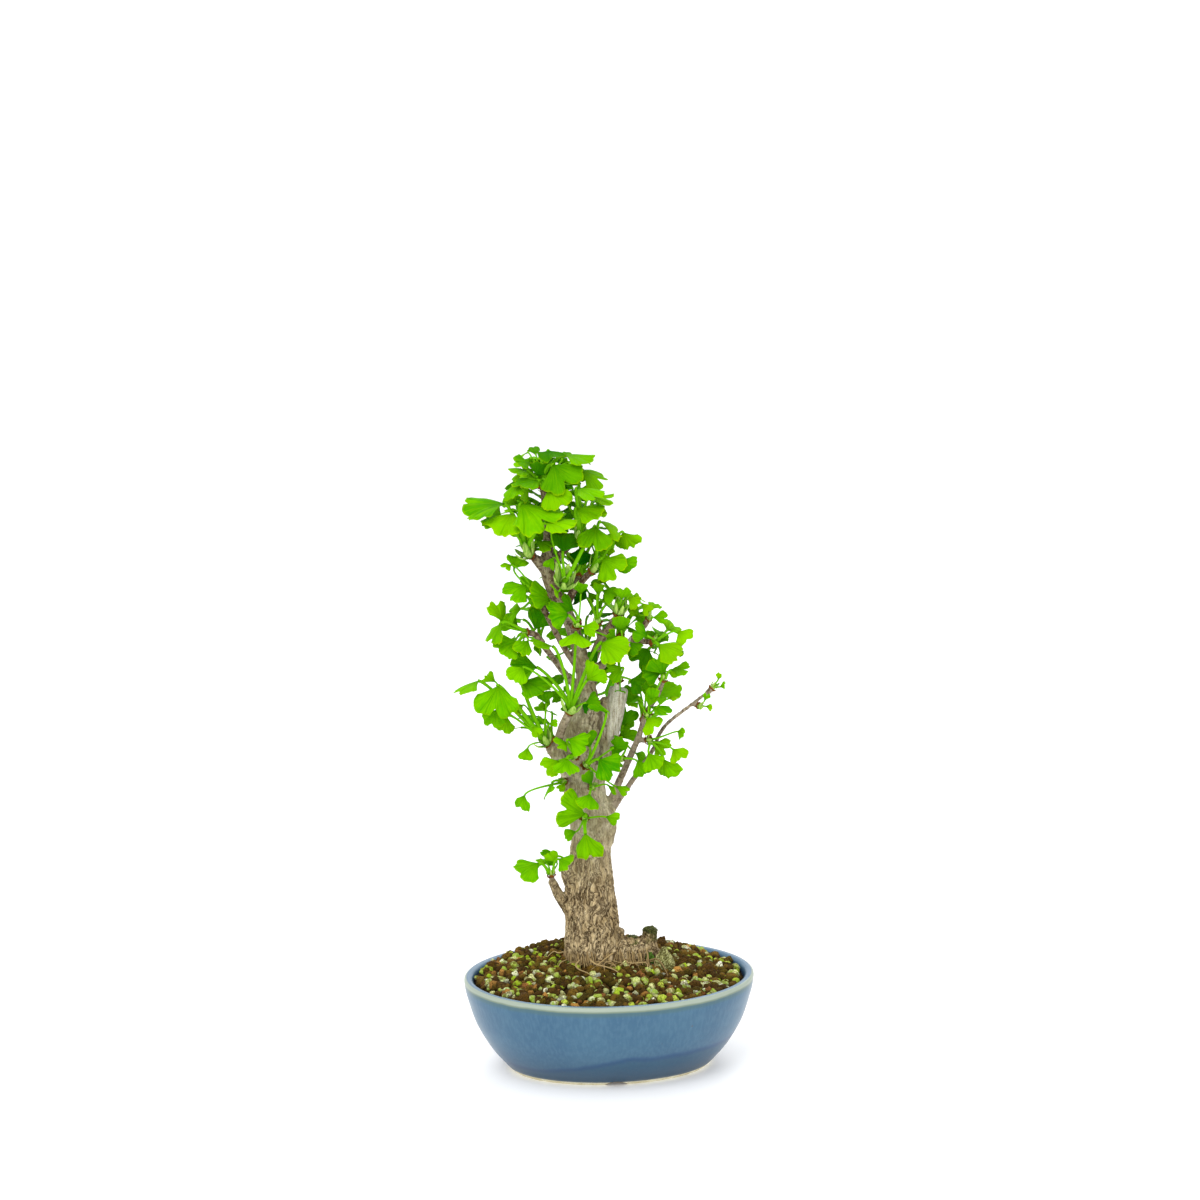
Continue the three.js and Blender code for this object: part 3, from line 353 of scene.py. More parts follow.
class Heap:
    # gathers closed surfaces of one piece: points, faces with three or four corners, attributes
    def __init__(self):
        self.points, self.faces, self.marks, self.count = [], [], {}, 0

    def add(self, points, faces, **marks):
        for face in faces:
            self.faces.append(np.asarray(face) + self.count)
        self.points.append(np.asarray(points, float))
        for key, value in marks.items():
            rows = np.asarray(value, float)
            rows = np.broadcast_to(rows, (len(points), rows.shape[-1]))
            self.marks.setdefault(key, []).append(rows)
        self.count += len(points)


def addMark(mesh, key, rows):
    # an attribute on the points: a colour if it has four columns, otherwise a vector
    colour = rows.shape[1] == 4
    mark = mesh.attributes.new(key, "FLOAT_COLOR" if colour else "FLOAT_VECTOR", "POINT")
    mark.data.foreach_set("color" if colour else "vector", rows.ravel())


def meshFrom(name, heap, smooth=True, perMetre=1000):
    mesh = bpy.data.meshes.new(name)
    points = np.vstack(heap.points) / perMetre
    corners = np.concatenate([face.ravel() for face in heap.faces]).astype(np.int32)
    sizes = np.concatenate([np.full(len(face), face.shape[1]) for face in heap.faces])
    starts = np.concatenate([[0], np.cumsum(sizes)[:-1]]).astype(np.int32)
    mesh.vertices.add(len(points))
    mesh.vertices.foreach_set("co", points.ravel())
    mesh.loops.add(len(corners))
    mesh.loops.foreach_set("vertex_index", corners)
    mesh.polygons.add(len(sizes))
    mesh.polygons.foreach_set("loop_start", starts)
    mesh.update(calc_edges=True)
    mesh.polygons.foreach_set("use_smooth", np.full(len(sizes), smooth))
    for key, rows in heap.marks.items():
        addMark(mesh, key, np.vstack(rows))
    mesh.validate()
    return mesh


def readArray(items, key, width, kind=float):
    values = np.empty(len(items) * width, kind)
    items.foreach_get(key, values)
    return values.reshape(-1, width)


def applied(holder):
    # the mesh that an object's modifiers make of it, in place of the object
    found = bpy.context.evaluated_depsgraph_get()
    made = bpy.data.meshes.new_from_object(holder.evaluated_get(found))
    bpy.data.objects.remove(holder)
    return made


def addPiece(name, shape, material, slot, *nodes):
    # shape is a heap or a mesh, and nodes are the solids that the piece stands for
    mesh = shape if isinstance(shape, bpy.types.Mesh) else meshFrom(name, shape)
    if material not in list(mesh.materials):
        mesh.materials.append(material)
    piece = newObject(name, mesh)
    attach(piece, "root")
    if nodes:
        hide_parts(*nodes)
    print(name, (readArray(mesh.polygons, "loop_total", 1, np.int32) - 2).sum(), "triangles")


# A pale sheet that bends up far behind the pot: half its width, and its section back and up, in metres.
floorShape = {"reach": 6.0, "depth": (-3.0, 0, 3, 3.6, 4.1, 4.4, 4.5, 4.5),
              "height": (0.0, 0, 0, 0.07, 0.28, 0.65, 1.2, 4.5)}


def makeFloor():
    depth = np.array(floorShape["depth"])
    rows = np.column_stack([np.zeros(len(depth)), depth, floorShape["height"]])
    points = np.vstack([rows + [side * floorShape["reach"], 0, 0] for side in (-1, 1)])
    count = len(depth)
    low = np.arange(count - 1)
    heap = Heap()
    heap.add(points, [np.stack([low, low + count, low + count + 1, low + 1], -1)])
    material, shade, shader = newMaterial("pale_floor", {"Roughness": 0.7, "Emission Strength": 0.1,
                                                         "Emission Color": (1, 1, 1, 1)})
    tone = grainNoise(objectPlace(shade), 6)
    feed(shade, shader, {"Base Color": blend(tone, (0.95, 0.95, 0.95), (0.97, 0.97, 0.97))})
    mesh = meshFrom("floor", heap, True, 1)
    mesh.materials.append(material)
    newObject("floor", mesh)


makeFloor()
print("camera, lights and floor are placed")

pot = {"length": 200, "width": 160, "widthLoss": 1.12, "ovalStart": 60, "columns": 264,
       "crowding": 0.3, "recess": 3, "floor": 9, "flat": (20, 45), "notchWidth": 14, "notchHeight": 2.6,
       "drainRadius": 8, "drainSpread": 32, "drainSides": 48, "drillRun": (-8, 4, 20), "glazeStart": 2.4,
       "glazeInside": 54, "coat": 0.35, "coatRoll": 0.5, "coatEnd": 60, "keep": 0.9992, "sway": 0.0012,
       "swaySize": 26, "swayStart": 4, "footStep": 0.5, "wallStep": 1.6, "insideStep": 3, "crease": 42}
# half length of the oval and height, round the foot, up the outside, over the lip and down the inside
footLine = [[59.5, 3], [60.3, 2.2], [61.2, 0.3], [62.0, 0], [67.2, 0], [68.0, 0.3], [68.6, 1.0]]
outsideLine = [[68.6, 1.0], [70.2, 2.6], [73.5, 6.2], [82.6, 17.4], [92.2, 34.5], [98.0, 52.5],
               [99.7, 60.0]]
lipLine = [[100.1, 61.6], [100.4, 63.2], [100.2, 64.8], [99.3, 65.7], [98.0, 66.0],
           [96.6, 65.9], [95.3, 65.3], [94.4, 64.0], [94.0, 62.6]]
insideLine = [[93.5, 60.0], [91.4, 51], [84, 31], [75, 16], [68.5, 10.2], [66, 9]]


def finer(line, step):
    rows = np.array([[a, 0, z] for a, z in line], float)
    count = max(2, int(curveLength(rows) / step))
    return curveAt(rows, np.arange(count + 1) / count)[:, [0, 2]]


def ovalPlace(half, angle, z):
    # presses a circle of radius half into the pot's oval: the width shrinks faster than the length
    reach = np.maximum(half, pot["ovalStart"])
    width = pot["width"] / 2 - pot["widthLoss"] * (pot["length"] / 2 - reach)
    x, y = half * np.cos(angle), half * np.sin(angle) * width / reach
    return np.stack(np.broadcast_arrays(x, y, z), -1)


def potProfile():
    # the pot's section from the middle underneath to the middle of its floor, and how many of its rows
    # lie outside
    near, far = pot["flat"]
    outside = [[[near, pot["recess"]], [far, pot["recess"]]], finer(footLine, pot["footStep"])[:-1],
               finer(outsideLine, pot["wallStep"])[:-1]]
    floorLine = [[far, pot["floor"]], [near, pot["floor"]]]
    inside = [lipLine, finer(insideLine, pot["insideStep"])[1:], floorLine]
    return np.vstack(outside + inside), sum(map(len, outside))


def cutNotch(points):
    # the drain notch is an arch of a circle cut through the foot along Y
    wide, rise = pot["notchWidth"] / 2, pot["notchHeight"]
    radius = (wide ** 2 + rise ** 2) / (2 * rise)
    arch = rise - radius + np.sqrt(np.maximum(radius ** 2 - points[:, 0] ** 2, 0))
    under = (np.abs(points[:, 0]) < wide) & (points[:, 2] < arch)
    points[under, 2] = arch[under]
    points[:, 2] = np.maximum(points[:, 2], 0)


def addDrill(holder, side):
    line = np.array([[side * pot["drainSpread"], 0, z] for z in pot["drillRun"]], float)
    drill = Heap()
    drill.add(*closedTube(line, np.full(3, pot["drainRadius"]), (0, 1, 0), pot["drainSides"]))
    cutter = newObject("drill", meshFrom("drill", drill, False))
    cut = holder.modifiers.new("drain", "BOOLEAN")
    cut.object, cut.operation, cut.solver = cutter, "DIFFERENCE", "EXACT"
    return cutter


def makePot():
    profile, outsideRows = potProfile()
    half, z = profile[:, :1], profile[:, 1:]
    outside = np.arange(len(profile))[:, None] < outsideRows
    glazed = outside & (z > pot["glazeStart"])
    # the glaze is a coat of its own thickness that ends in a soft roll above the foot
    roll = np.clip((z - pot["glazeStart"]) / pot["coatRoll"], 0, 1)
    coat = pot["coat"] * roll * glazed * (z < pot["coatEnd"])
    # columns stand closer together at the front and the back, where the notches are
    columns = pot["columns"]
    turn = aroundTurn(columns)
    turn = turn + pot["crowding"] * np.sin(2 * turn)
    points = ovalPlace(half + coat, turn[None], z).reshape(-1, 3)
    sway = layeredNoise(points / pot["swaySize"], 2, 5)
    points[:, :2] *= (pot["keep"] + pot["sway"] * sway * (points[:, 2] > pot["swayStart"]))[:, None]
    cutNotch(points)
    heap = Heap()
    heap.add(np.vstack([points, [[0, 0, pot["recess"]], [0, 0, pot["floor"]]]]),
             closedFaces(len(profile), columns))
    mesh = meshFrom("uncut", heap)
    # the foot, the underside and the inside below the soil are bare clay, which is the second material
    bareRows = ~(glazed | (~outside & (z > pot["glazeInside"])))[:, 0]
    bare = (bareRows[:-1] | bareRows[1:]).repeat(columns)
    mesh.materials.append(glazeMaterial())
    mesh.materials.append(clayMaterial())
    mesh.polygons.foreach_set("material_index", np.concatenate([bare, np.ones(2 * columns, int)]))
    holder = newObject("uncut", mesh)
    drills = [addDrill(holder, side) for side in (-1, 1)]
    bored = applied(holder)
    for drill in drills:
        bpy.data.objects.remove(drill)
    bored.name = "pot_body"
    bored.set_sharp_from_angle(angle=math.radians(pot["crease"]))
    addPiece("pot_body", bored, bored.materials[0], "glaze", "pot")


# arch is the colour of the painted shade in the drain notch
glazeTones = palette(
    body=(64, 102, 128), deep=(44, 82, 114), tide=(22, 62, 112), pale=(82, 118, 140), under=(70, 100, 102),
    lip=(112, 128, 112), lipWarm=(152, 164, 150), inner=(38, 66, 100), low=(24, 70, 94), foot=(14, 56, 84),
    rim=(84, 116, 142), arch=(104, 84, 36), clay=(240, 236, 214), clayDark=(208, 198, 162),
    rust=(92, 70, 56))
# Heights on the pot, in metres, between which each tone of the glaze comes in. The tide line climbs to
# the right. lipShare is the width of the lip's oval over its length.
glaze = {"foot": (0.0, 0.034), "under": (0.0582, 0.0612), "lip": (0.0616, 0.0629),
         "lipWarm": (0.0626, 0.0641), "crest": (0.0640, 0.0656), "crestWidth": 0.0022,
         "inside": (0.050, 0.056), "insideReach": (0.0972, 0.0960), "rim": (0.0605, 0.0650),
         "tideLow": 0.0115, "tideRise": 0.0135, "tideAcross": (-0.062, 0.012), "tideDrift": 0.006,
         "tideBelow": (-0.0012, 0.0008), "tideIn": (-0.0045, -0.0006), "tideOut": (-0.0002, 0.0026),
         "lipShare": 0.795, "wobble": 0.0012}


def notchShade(x, z, low, high):
    # 1 on the edge of the drain notch, where painted shade darkens the arch: how high a point lies over
    # the arch, in metres
    wide, rise = pot["notchWidth"] / 2000, pot["notchHeight"] / 1000
    over = z - rise + x * x * (rise / wide / wide)
    near = 1 - steps(x * x, (wide * 0.98) ** 2, (wide * 1.2) ** 2)
    return (1 - steps(over, low, high)) * near * (1 - steps(z, rise, rise * 1.8))


def tideLayers(shade, x, z):
    # a tide line climbs to the right along the lower wall: deep blue at the line, duller below it
    drift = grainNoise(objectPlace(shade, (1, 1, 0)), 30, 3)
    climb = steps(x, *glaze["tideAcross"])
    tide = z - glaze["tideLow"] - climb * glaze["tideRise"] - (drift - 0.5) * glaze["tideDrift"]
    below = 1 - steps(tide, *glaze["tideBelow"])
    line = steps(tide, *glaze["tideIn"]) * (1 - steps(tide, *glaze["tideOut"]))
    return ("low", below * 0.5), ("tide", line * 0.5)


def glazeMaterial():
    material, shade, shader = newMaterial("blue_glaze", {"IOR": 1.45, "Specular IOR Level": 0.3,
                                                         "Coat Weight": 0.1, "Coat Roughness": 0.12})
    place = objectPlace(shade)
    x, y, z = parts(place)
    streaks = grainNoise(objectPlace(shade, (1, 1, 0.12)), 520, 2)
    cloud = grainNoise(place, 26, 4)
    speckle = grainNoise(place, 900, 2)
    # the glaze runs thin and pale over the lip, with a grey-green edge under it
    edge = z + (grainNoise(place, 60, 2) - 0.5) * glaze["wobble"]
    body = layered(glazeTones["body"], glazeTones,
                   ("deep", steps(cloud, 0.3, 0.7) * 0.45),
                   ("pale", steps(streaks + speckle * 0.3, 0.5, 0.86) * 0.35),
                   *tideLayers(shade, x, z),
                   ("foot", (1 - steps(z, *glaze["foot"])) * 0.7),
                   ("under", steps(edge, *glaze["under"]) * 0.7),
                   ("lip", steps(edge, *glaze["lip"])),
                   ("lipWarm", steps(edge, *glaze["lipWarm"])))
    # on the inside of the lip the glaze is thick and blue again
    wide = y * (1 / glaze["lipShare"])
    reach = x.maths("SQRT", x * x + wide * wide) - steps(z, *glaze["crest"]) * glaze["crestWidth"]
    inner = steps(reach, *glaze["insideReach"]) * steps(z, *glaze["inside"])
    body = blend(inner, body, blend(steps(z, *glaze["rim"]), glazeTones["inner"], glazeTones["rim"]))
    # rust specks, and painted shade along the edge of the drain notch
    body = layered(body, glazeTones,
                   ("rust", steps(grainNoise(place, 95, 2), 0.765, 0.785) * 0.7),
                   ("arch", notchShade(x, z, 0.0005, 0.0013)))
    feed(shade, shader, {"Base Color": body, "Roughness": 0.26 + speckle * 0.08,
                         "Normal": relief(shade, speckle * 0.35 + cloud * 1.5, 0.0002, 0.3)})
    return material


def clayMaterial():
    material, shade, shader = newMaterial("bare_clay", {"Roughness": 0.85})
    place = objectPlace(shade)
    sand = grainNoise(place, 700, 4)
    tone = blend(steps(grainNoise(place, 90, 3) * 0.5 + sand * 0.5, 0.35, 0.65),
                 glazeTones["clayDark"], glazeTones["clay"])
    # painted shade under the arch of the drain notch
    tone = blend(notchShade(*parts(place)[::2], 0.0004, 0.001), tone, glazeTones["arch"])
    feed(shade, shader, {"Base Color": tone, "Normal": relief(shade, sand, 0.0004, 0.5)})
    return material


makePot()
print("the pot is thrown and glazed")

soil = {"level": 66.5, "mound": 8, "moundBack": 15, "moundLength": 78, "tiltBack": 2.2, "tiltLeft": 1,
        "drop": 2.5, "halfLength": 93, "halfWidth": 73, "sides": 144, "rings": 44, "shares": (0.02, 0.97),
        "bedReach": 93.2, "bedDrop": 2.6, "clod": 1.3, "clodSize": 5}
# half length and height of the bed's side, down the pot's wall and in along its floor
bedLine = [[92.9, 56.0], [91.0, 51.0], [83.6, 31], [74.6, 16], [65.6, 9.4], [30, 9.4]]


def soilHeight(x, y):
    # a bed that rises a little to the back and the left, with a mound on it whose height falls off with
    # the square of the distance from its middle, and a drop close to the pot's wall
    reach = (x / soil["moundLength"]) ** 2 + ((y - soil["moundBack"]) / soil["halfWidth"]) ** 2
    wall = np.minimum((x / soil["halfLength"]) ** 2 + (y / soil["halfWidth"]) ** 2, 1)
    tilt = soil["tiltBack"] * y / soil["halfWidth"] - soil["tiltLeft"] * x / soil["halfLength"]
    return soil["level"] + tilt + soil["mound"] * np.maximum(1 - reach, 0) - soil["drop"] * wall ** 6


def makeSoilBed():
    # rings of the pot's oval from the middle of the top out to the wall, down it, and back under
    share = np.concatenate([np.linspace(*soil["shares"], soil["rings"]), [1.0]])[:, None]
    angle = aroundTurn(soil["sides"])[None]
    top = ovalPlace(soil["bedReach"] * share, angle, 0 * share)
    flat = top.reshape(-1, 3)
    clods = layeredNoise(flat / soil["clodSize"], 3, 8).reshape(top.shape[:2])
    top[..., 2] = soilHeight(top[..., 0], top[..., 1]) - soil["bedDrop"] + soil["clod"] * clods
    wall = np.array(bedLine)
    side = ovalPlace(wall[:, :1], angle, wall[:, 1:])
    middles = [[0, 0, soilHeight(0, 0) - soil["bedDrop"]], [0, 0, wall[-1, 1]]]
    heap = Heap()
    heap.add(np.vstack([top.reshape(-1, 3), side.reshape(-1, 3), middles]),
             closedFaces(len(share) + len(wall), soil["sides"], True))
    material, shade, shader = newMaterial("damp_soil", {"Roughness": 0.95, "Specular IOR Level": 0.1})
    clods = grainNoise(objectPlace(shade), 240, 5, 0.65)
    tone = blend(steps(clods, 0.35, 0.7), fromScreen(24, 15, 3), fromScreen(62, 47, 12))
    feed(shade, shader, {"Base Color": tone, "Normal": relief(shade, clods, 0.0012, 0.8)})
    addPiece("soil_bed", heap, material, "soil", "soil")


def pebbleShape(cuts):
    # a cube cut into cuts by cuts squares on each side and blown up to a ball
    line = np.tan(np.linspace(-1, 1, cuts + 1) * math.pi / 4)
    a, b = (grid.ravel() for grid in np.meshgrid(line, line, indexing="ij"))
    one = np.ones_like(a)
    sides = [(one, a, b), (-one, b, a), (b, one, a), (a, -one, b), (a, b, one), (b, a, -one)]
    points = unit(np.vstack([np.stack(side, -1) for side in sides]))
    low = (np.arange(cuts)[:, None] * (cuts + 1) + np.arange(cuts)[None]).ravel()
    face = np.stack([low, low + cuts + 1, low + cuts + 2, low + 1], -1)
    faces = np.vstack([face + k * (cuts + 1) ** 2 for k in range(6)])
    keys = np.round(points * 1e5).astype(np.int64)
    first, again = np.unique(keys, axis=0, return_index=True, return_inverse=True)[1:]
    return points[first], again.ravel()[faces]


def turnings(rng, count):
    # random rotations from unit quaternions
    w, x, y, z = unit(rng.normal(size=(count, 4))).T
    return np.stack([
        1 - 2 * (y * y + z * z), 2 * (x * y - z * w), 2 * (x * z + y * w),
        2 * (x * y + z * w), 1 - 2 * (x * x + z * z), 2 * (y * z - x * w),
        2 * (x * z - y * w), 2 * (y * z + x * w), 1 - 2 * (x * x + y * y)], -1).reshape(-1, 3, 3)


# Two layers of grains on a triangular grid. size and the factor sizeSpread are drawn for each grain,
# cuts is the detail of its ball, and light the share of pale grains. The colour factors from a grain's
# underside to its top are painted shade and painted light.
grains = {"layers": [
    {"name": "soil_grains_under", "spacing": 6.6, "cuts": 2, "size": (6.0, 9.0), "lift": -2.6,
     "light": 0.08, "seed": 21},
    {"name": "soil_grains_top", "spacing": 4.9, "cuts": 3, "size": (3.2, 6.6), "lift": -0.9,
     "light": 0.42, "seed": 22}],
    "field": (98, 80), "jitter": 0.34, "sizeSpread": (0.9, 1.3), "stretch": (0.62, 1.2), "rough": 0.3,
    "roughSize": 1.7, "reach": 93.4, "ovalLoss": 19.6, "trunk": (-10, 10, 18.5),
    "root": ((-6, 35), 8, 10), "stone": (37.5, -9, 7), "tiltDraw": 0.7, "lightSpread": (0.7, 1.25),
    "paintedShadeAndLight": (0.26, 1.26), "dullShares": (0.36, 0.3, 0.25, 0.04, 0.05),
    "brightShares": (0.46, 0.3, 0.19, 0.05)}
grainTones = [fromScreen(*tone) for tone in (
    (74, 52, 14), (102, 78, 24), (80, 66, 14), (132, 88, 44), (160, 116, 54),
    (208, 210, 144), (186, 202, 74), (228, 229, 192), (156, 156, 140))]


def clearGround(x, y, size):
    # grains stay inside the pot's oval and off the trunk, the root to its right and the stone, which
    # are two circles and a strip along X
    inner = grains["reach"] - 0.5 * size
    inside = (x / inner) ** 2 + (y / (inner - grains["ovalLoss"])) ** 2 < 1
    (left, right), middle, wide = grains["root"]
    clear = inside & ~((x > left) & (x < right) & (np.abs(y - middle) < wide))
    for across, back, radius in (grains["trunk"], grains["stone"]):
        clear &= np.hypot(x - across, y - back) > radius
    return clear


def makeGrains(layer, material):
    rng = np.random.default_rng(layer["seed"])
    spacing, jitter = layer["spacing"], grains["jitter"]
    pitch = spacing * math.sqrt(3) / 2
    rows, columns = int(grains["field"][1] / pitch), int(grains["field"][0] / spacing)
    row, column = (grid.ravel() for grid in np.mgrid[-rows:rows + 1, -columns:columns + 1])
    x = (column + (row % 2) / 2) * spacing + rng.uniform(-jitter, jitter, row.size) * spacing
    y = row * pitch + rng.uniform(-jitter, jitter, row.size) * spacing
    size = rng.uniform(*layer["size"], row.size) * rng.uniform(*grains["sizeSpread"], row.size)
    kept = clearGround(x, y, size)
    x, y, size = x[kept], y[kept], size[kept]
    count = len(x)
    # each grain is a ball made uneven by noise, stretched, turned at random and laid on the bed
    shape, faces = pebbleShape(layer["cuts"])
    stretch = rng.uniform(*grains["stretch"], (count, 3)) * (size / 2)[:, None]
    noisePlace = (shape[None] * grains["roughSize"] + rng.uniform(0, 90, (count, 1, 3))).reshape(-1, 3)
    angular = shape[None] * (1 + grains["rough"] * latticeNoise(noisePlace, 3).reshape(count, -1, 1))
    solids = np.einsum("nij,nmj->nmi", turnings(rng, count), angular * stretch[:, None])
    lean = grains["tiltDraw"]
    z = soilHeight(x, y) + layer["lift"] + rng.uniform(-lean, lean, count)
    points = solids + np.stack([x, y, z], -1)[:, None]
    # pale grains lie less at the back and round the trunk
    rarer = 1.15 - 0.5 * (y > 20) - 0.35 * (np.hypot(x + 8, y - 6) < 34)
    light = rng.random(count) < layer["light"] * rarer
    dull = rng.choice(5, count, p=grains["dullShares"])
    bright = 5 + rng.choice(4, count, p=grains["brightShares"])
    tones = np.array(grainTones)[np.where(light, bright, dull)]
    tones = tones * rng.uniform(*grains["lightSpread"], (count, 1))
    # each grain has painted shade towards its underside and painted light on its top
    up = np.clip(0.5 + solids[:, :, 2] / size[:, None], 0, 1) ** 1.3
    tones = np.clip(tones[:, None] * between(grains["paintedShadeAndLight"], up[..., None]), 0, 1)
    colour = np.concatenate([tones, np.ones((count, len(shape), 1))], -1).reshape(-1, 4)
    pale = np.repeat(np.column_stack([light, rng.random(count), rng.random(count)]), len(shape), axis=0)
    heap = Heap()
    allFaces = (faces[None] + np.arange(count)[:, None, None] * len(shape)).reshape(-1, 4)
    heap.add(points.reshape(-1, 3), [allFaces], tone=colour, pale=pale)
    addPiece(layer["name"], heap, material, "soil", "soil")


def grainMaterial():
    material, shade, shader = newMaterial("soil_grains", {"Roughness": 0.9, "Specular IOR Level": 0.12})
    place = objectPlace(shade)
    tone = ownAttribute(shade, "tone", "Color")
    light, shift, other = parts(ownAttribute(shade, "pale"))
    pores = grainNoise(place, 900, 4, 0.7)
    stain = grainNoise(place, 260, 3)
    dark = blend(steps(pores, 0.3, 0.58), fromScreen(30, 20, 3), tone)
    # pale grains have a green bloom and brown dirt in places
    bloom = steps(stain + shift * 0.3, 0.54, 0.8) * light
    dirt = steps(grainNoise(place, 420, 3) + other * 0.2, 0.6, 0.76) * light
    tint = blend(bloom * 0.8, dark, fromScreen(136, 166, 14))
    tint = blend(dirt * 0.7, tint, fromScreen(84, 66, 20))
    feed(shade, shader, {"Base Color": tint, "Normal": relief(shade, pores + stain * 1.5, 0.0007, 0.7)})
    return material


def makeSoil():
    makeSoilBed()
    material = grainMaterial()
    for layer in grains["layers"]:
        makeGrains(layer, material)


makeSoil()
print("the soil is filled in")

# Each limb is a line of [x, y, z, radius] along its middle, in millimetres.
limbs = {
    "trunk": [
        [-10, 10, 42, 15], [-10, 10, 56, 20], [-11, 10, 70, 18.6], [-11, 10, 85, 18.3],
        [-10.7, 10, 103, 18.2], [-11.5, 10, 121, 17.2], [-11, 10, 144, 14], [-10.3, 10, 157, 13.3],
        [-9.5, 10, 165, 15], [-11, 10, 175, 14.2], [-16, 10, 190, 11.8], [-19, 10, 204, 11],
        [-18, 10, 222, 11.6], [-16, 10, 240, 12.2], [-14.8, 10, 254, 11.3], [-13.2, 9.5, 264, 8.6],
        [-12.5, 9, 270, 5]],
    "rind": [[-9, 10, 204, 6.5], [-7.5, 9.5, 222, 7.5], [-5, 9, 240, 7.4], [-3.5, 8.5, 254, 5.4]],
    "leader": [
        [-14, 9, 252, 7], [-13.5, 8, 268, 5.6], [-15, 8, 285, 5.1], [-24, 6, 315, 4.7], [-34, 5, 334, 4.5],
        [-38, 4, 350, 4.8], [-37, 5, 365, 3.6], [-37, 5, 382, 3], [-39, 6, 401, 2.6]],
    "stump": [
        [-3, 10, 156, 8], [0, 9, 172, 7.5], [-4, 9, 188, 5.2], [-5, 9, 202, 5.2], [-1, 8.5, 218, 6.6],
        [3, 8, 233, 6.8], [7, 7, 250, 6.7], [10, 6, 265, 6.6]],
    "upright_twig": [
        [1, 9, 172, 4], [3, 8.5, 184, 3.1], [22, 4, 229, 2.3], [28, 2, 248, 2.1], [35, 0, 259, 2.1],
        [38, -2, 268, 2.4]],
    "leaning_twig": [
        [2, 10, 170, 4], [6, 9.5, 181, 2.4], [31, 4, 219, 1.9], [37, 2, 233, 1.7], [44, 0, 242, 1.6],
        [60, 0, 254, 1.5], [71, 0, 262, 1.5]],
    "left_branch": [
        [-14, 9, 256, 4], [-19, 7, 266, 3], [-25, 4, 274, 2.5], [-37, 0, 291, 2.2], [-47, -3, 306, 2.3]],
    "left_riser": [
        [-14, 8, 272, 3.2], [-20, 6, 283, 2.5], [-27, 4, 294, 2.2], [-36, 0, 312, 2],
        [-42, -1.5, 325, 2.3]],
    "right_branch": [
        [-14, 8, 268, 4], [-9, 6, 282, 3.6], [-3, 0, 299, 3.3], [3, -2, 308, 3], [7, -3.5, 314, 2.8]],
    "rear_branch": [
        [-12, 9, 262, 4], [-3, 8, 279, 3.2], [8, 6, 290, 2.7], [17, 4, 297, 2.5], [25, 4, 305, 2.2],
        [29, 4, 310, 2.2]],
    "rear_fork": [[16, 4, 296, 2.3], [24, 1, 298, 2.1], [29, -1.5, 298, 2.1]],
    "left_spur": [[-18, 9, 198, 8], [-29, 4, 213, 5], [-35, -2, 223, 4.4], [-39, -5, 228, 3.6]],
    "front_shoot": [[-29, 3, 214, 3.6], [-33, -3, 228, 3.1], [-31, -8, 240, 3], [-27, -13, 251, 3]],
    "crown_fork": [[-37, 4, 346, 4.4], [-43, 1, 354, 3.8], [-47, -1.5, 358, 3]],
    "crown_twig": [[-37, 4, 348, 3.4], [-29, 2, 359, 2.6], [-21, -1, 367, 2.4]],
    "side_twig": [[-27, 6, 320, 3.4], [-20, 3, 334, 2.6], [-11, -1, 345, 2.4]],
    "low_stub": [
        [-14, 11, 94, 8], [-24, 10, 106, 6], [-32, 6, 118, 4.6], [-37, 1, 129, 4.2], [-39, -1, 133, 4]],
    "healed_cut": [[-13, 10, 122, 11], [-22, 10, 131, 8.5], [-26, 9.5, 138, 6], [-28, 9, 143, 4]],
}

# Limbs that go into the soil, which the solids cut to fit them as they do to the trunk.
roots = {
    "right_root": [
        [-6, 7, 71, 13], [4, 6, 76, 13], [13, 6, 77, 12], [21, 6.5, 76.6, 10.9], [27, 8, 75.5, 9.7],
        [33, 9.5, 71, 7.6], [40, 11, 63, 5]],
    "root_stump": [[25, 11, 70, 8], [28.5, 12, 81, 6.6], [30, 12, 91, 5.6]],
    "root_knob": [[3, 8, 82, 6.5], [7.5, 8, 90, 4.4], [10, 8, 95, 2.6]],
}

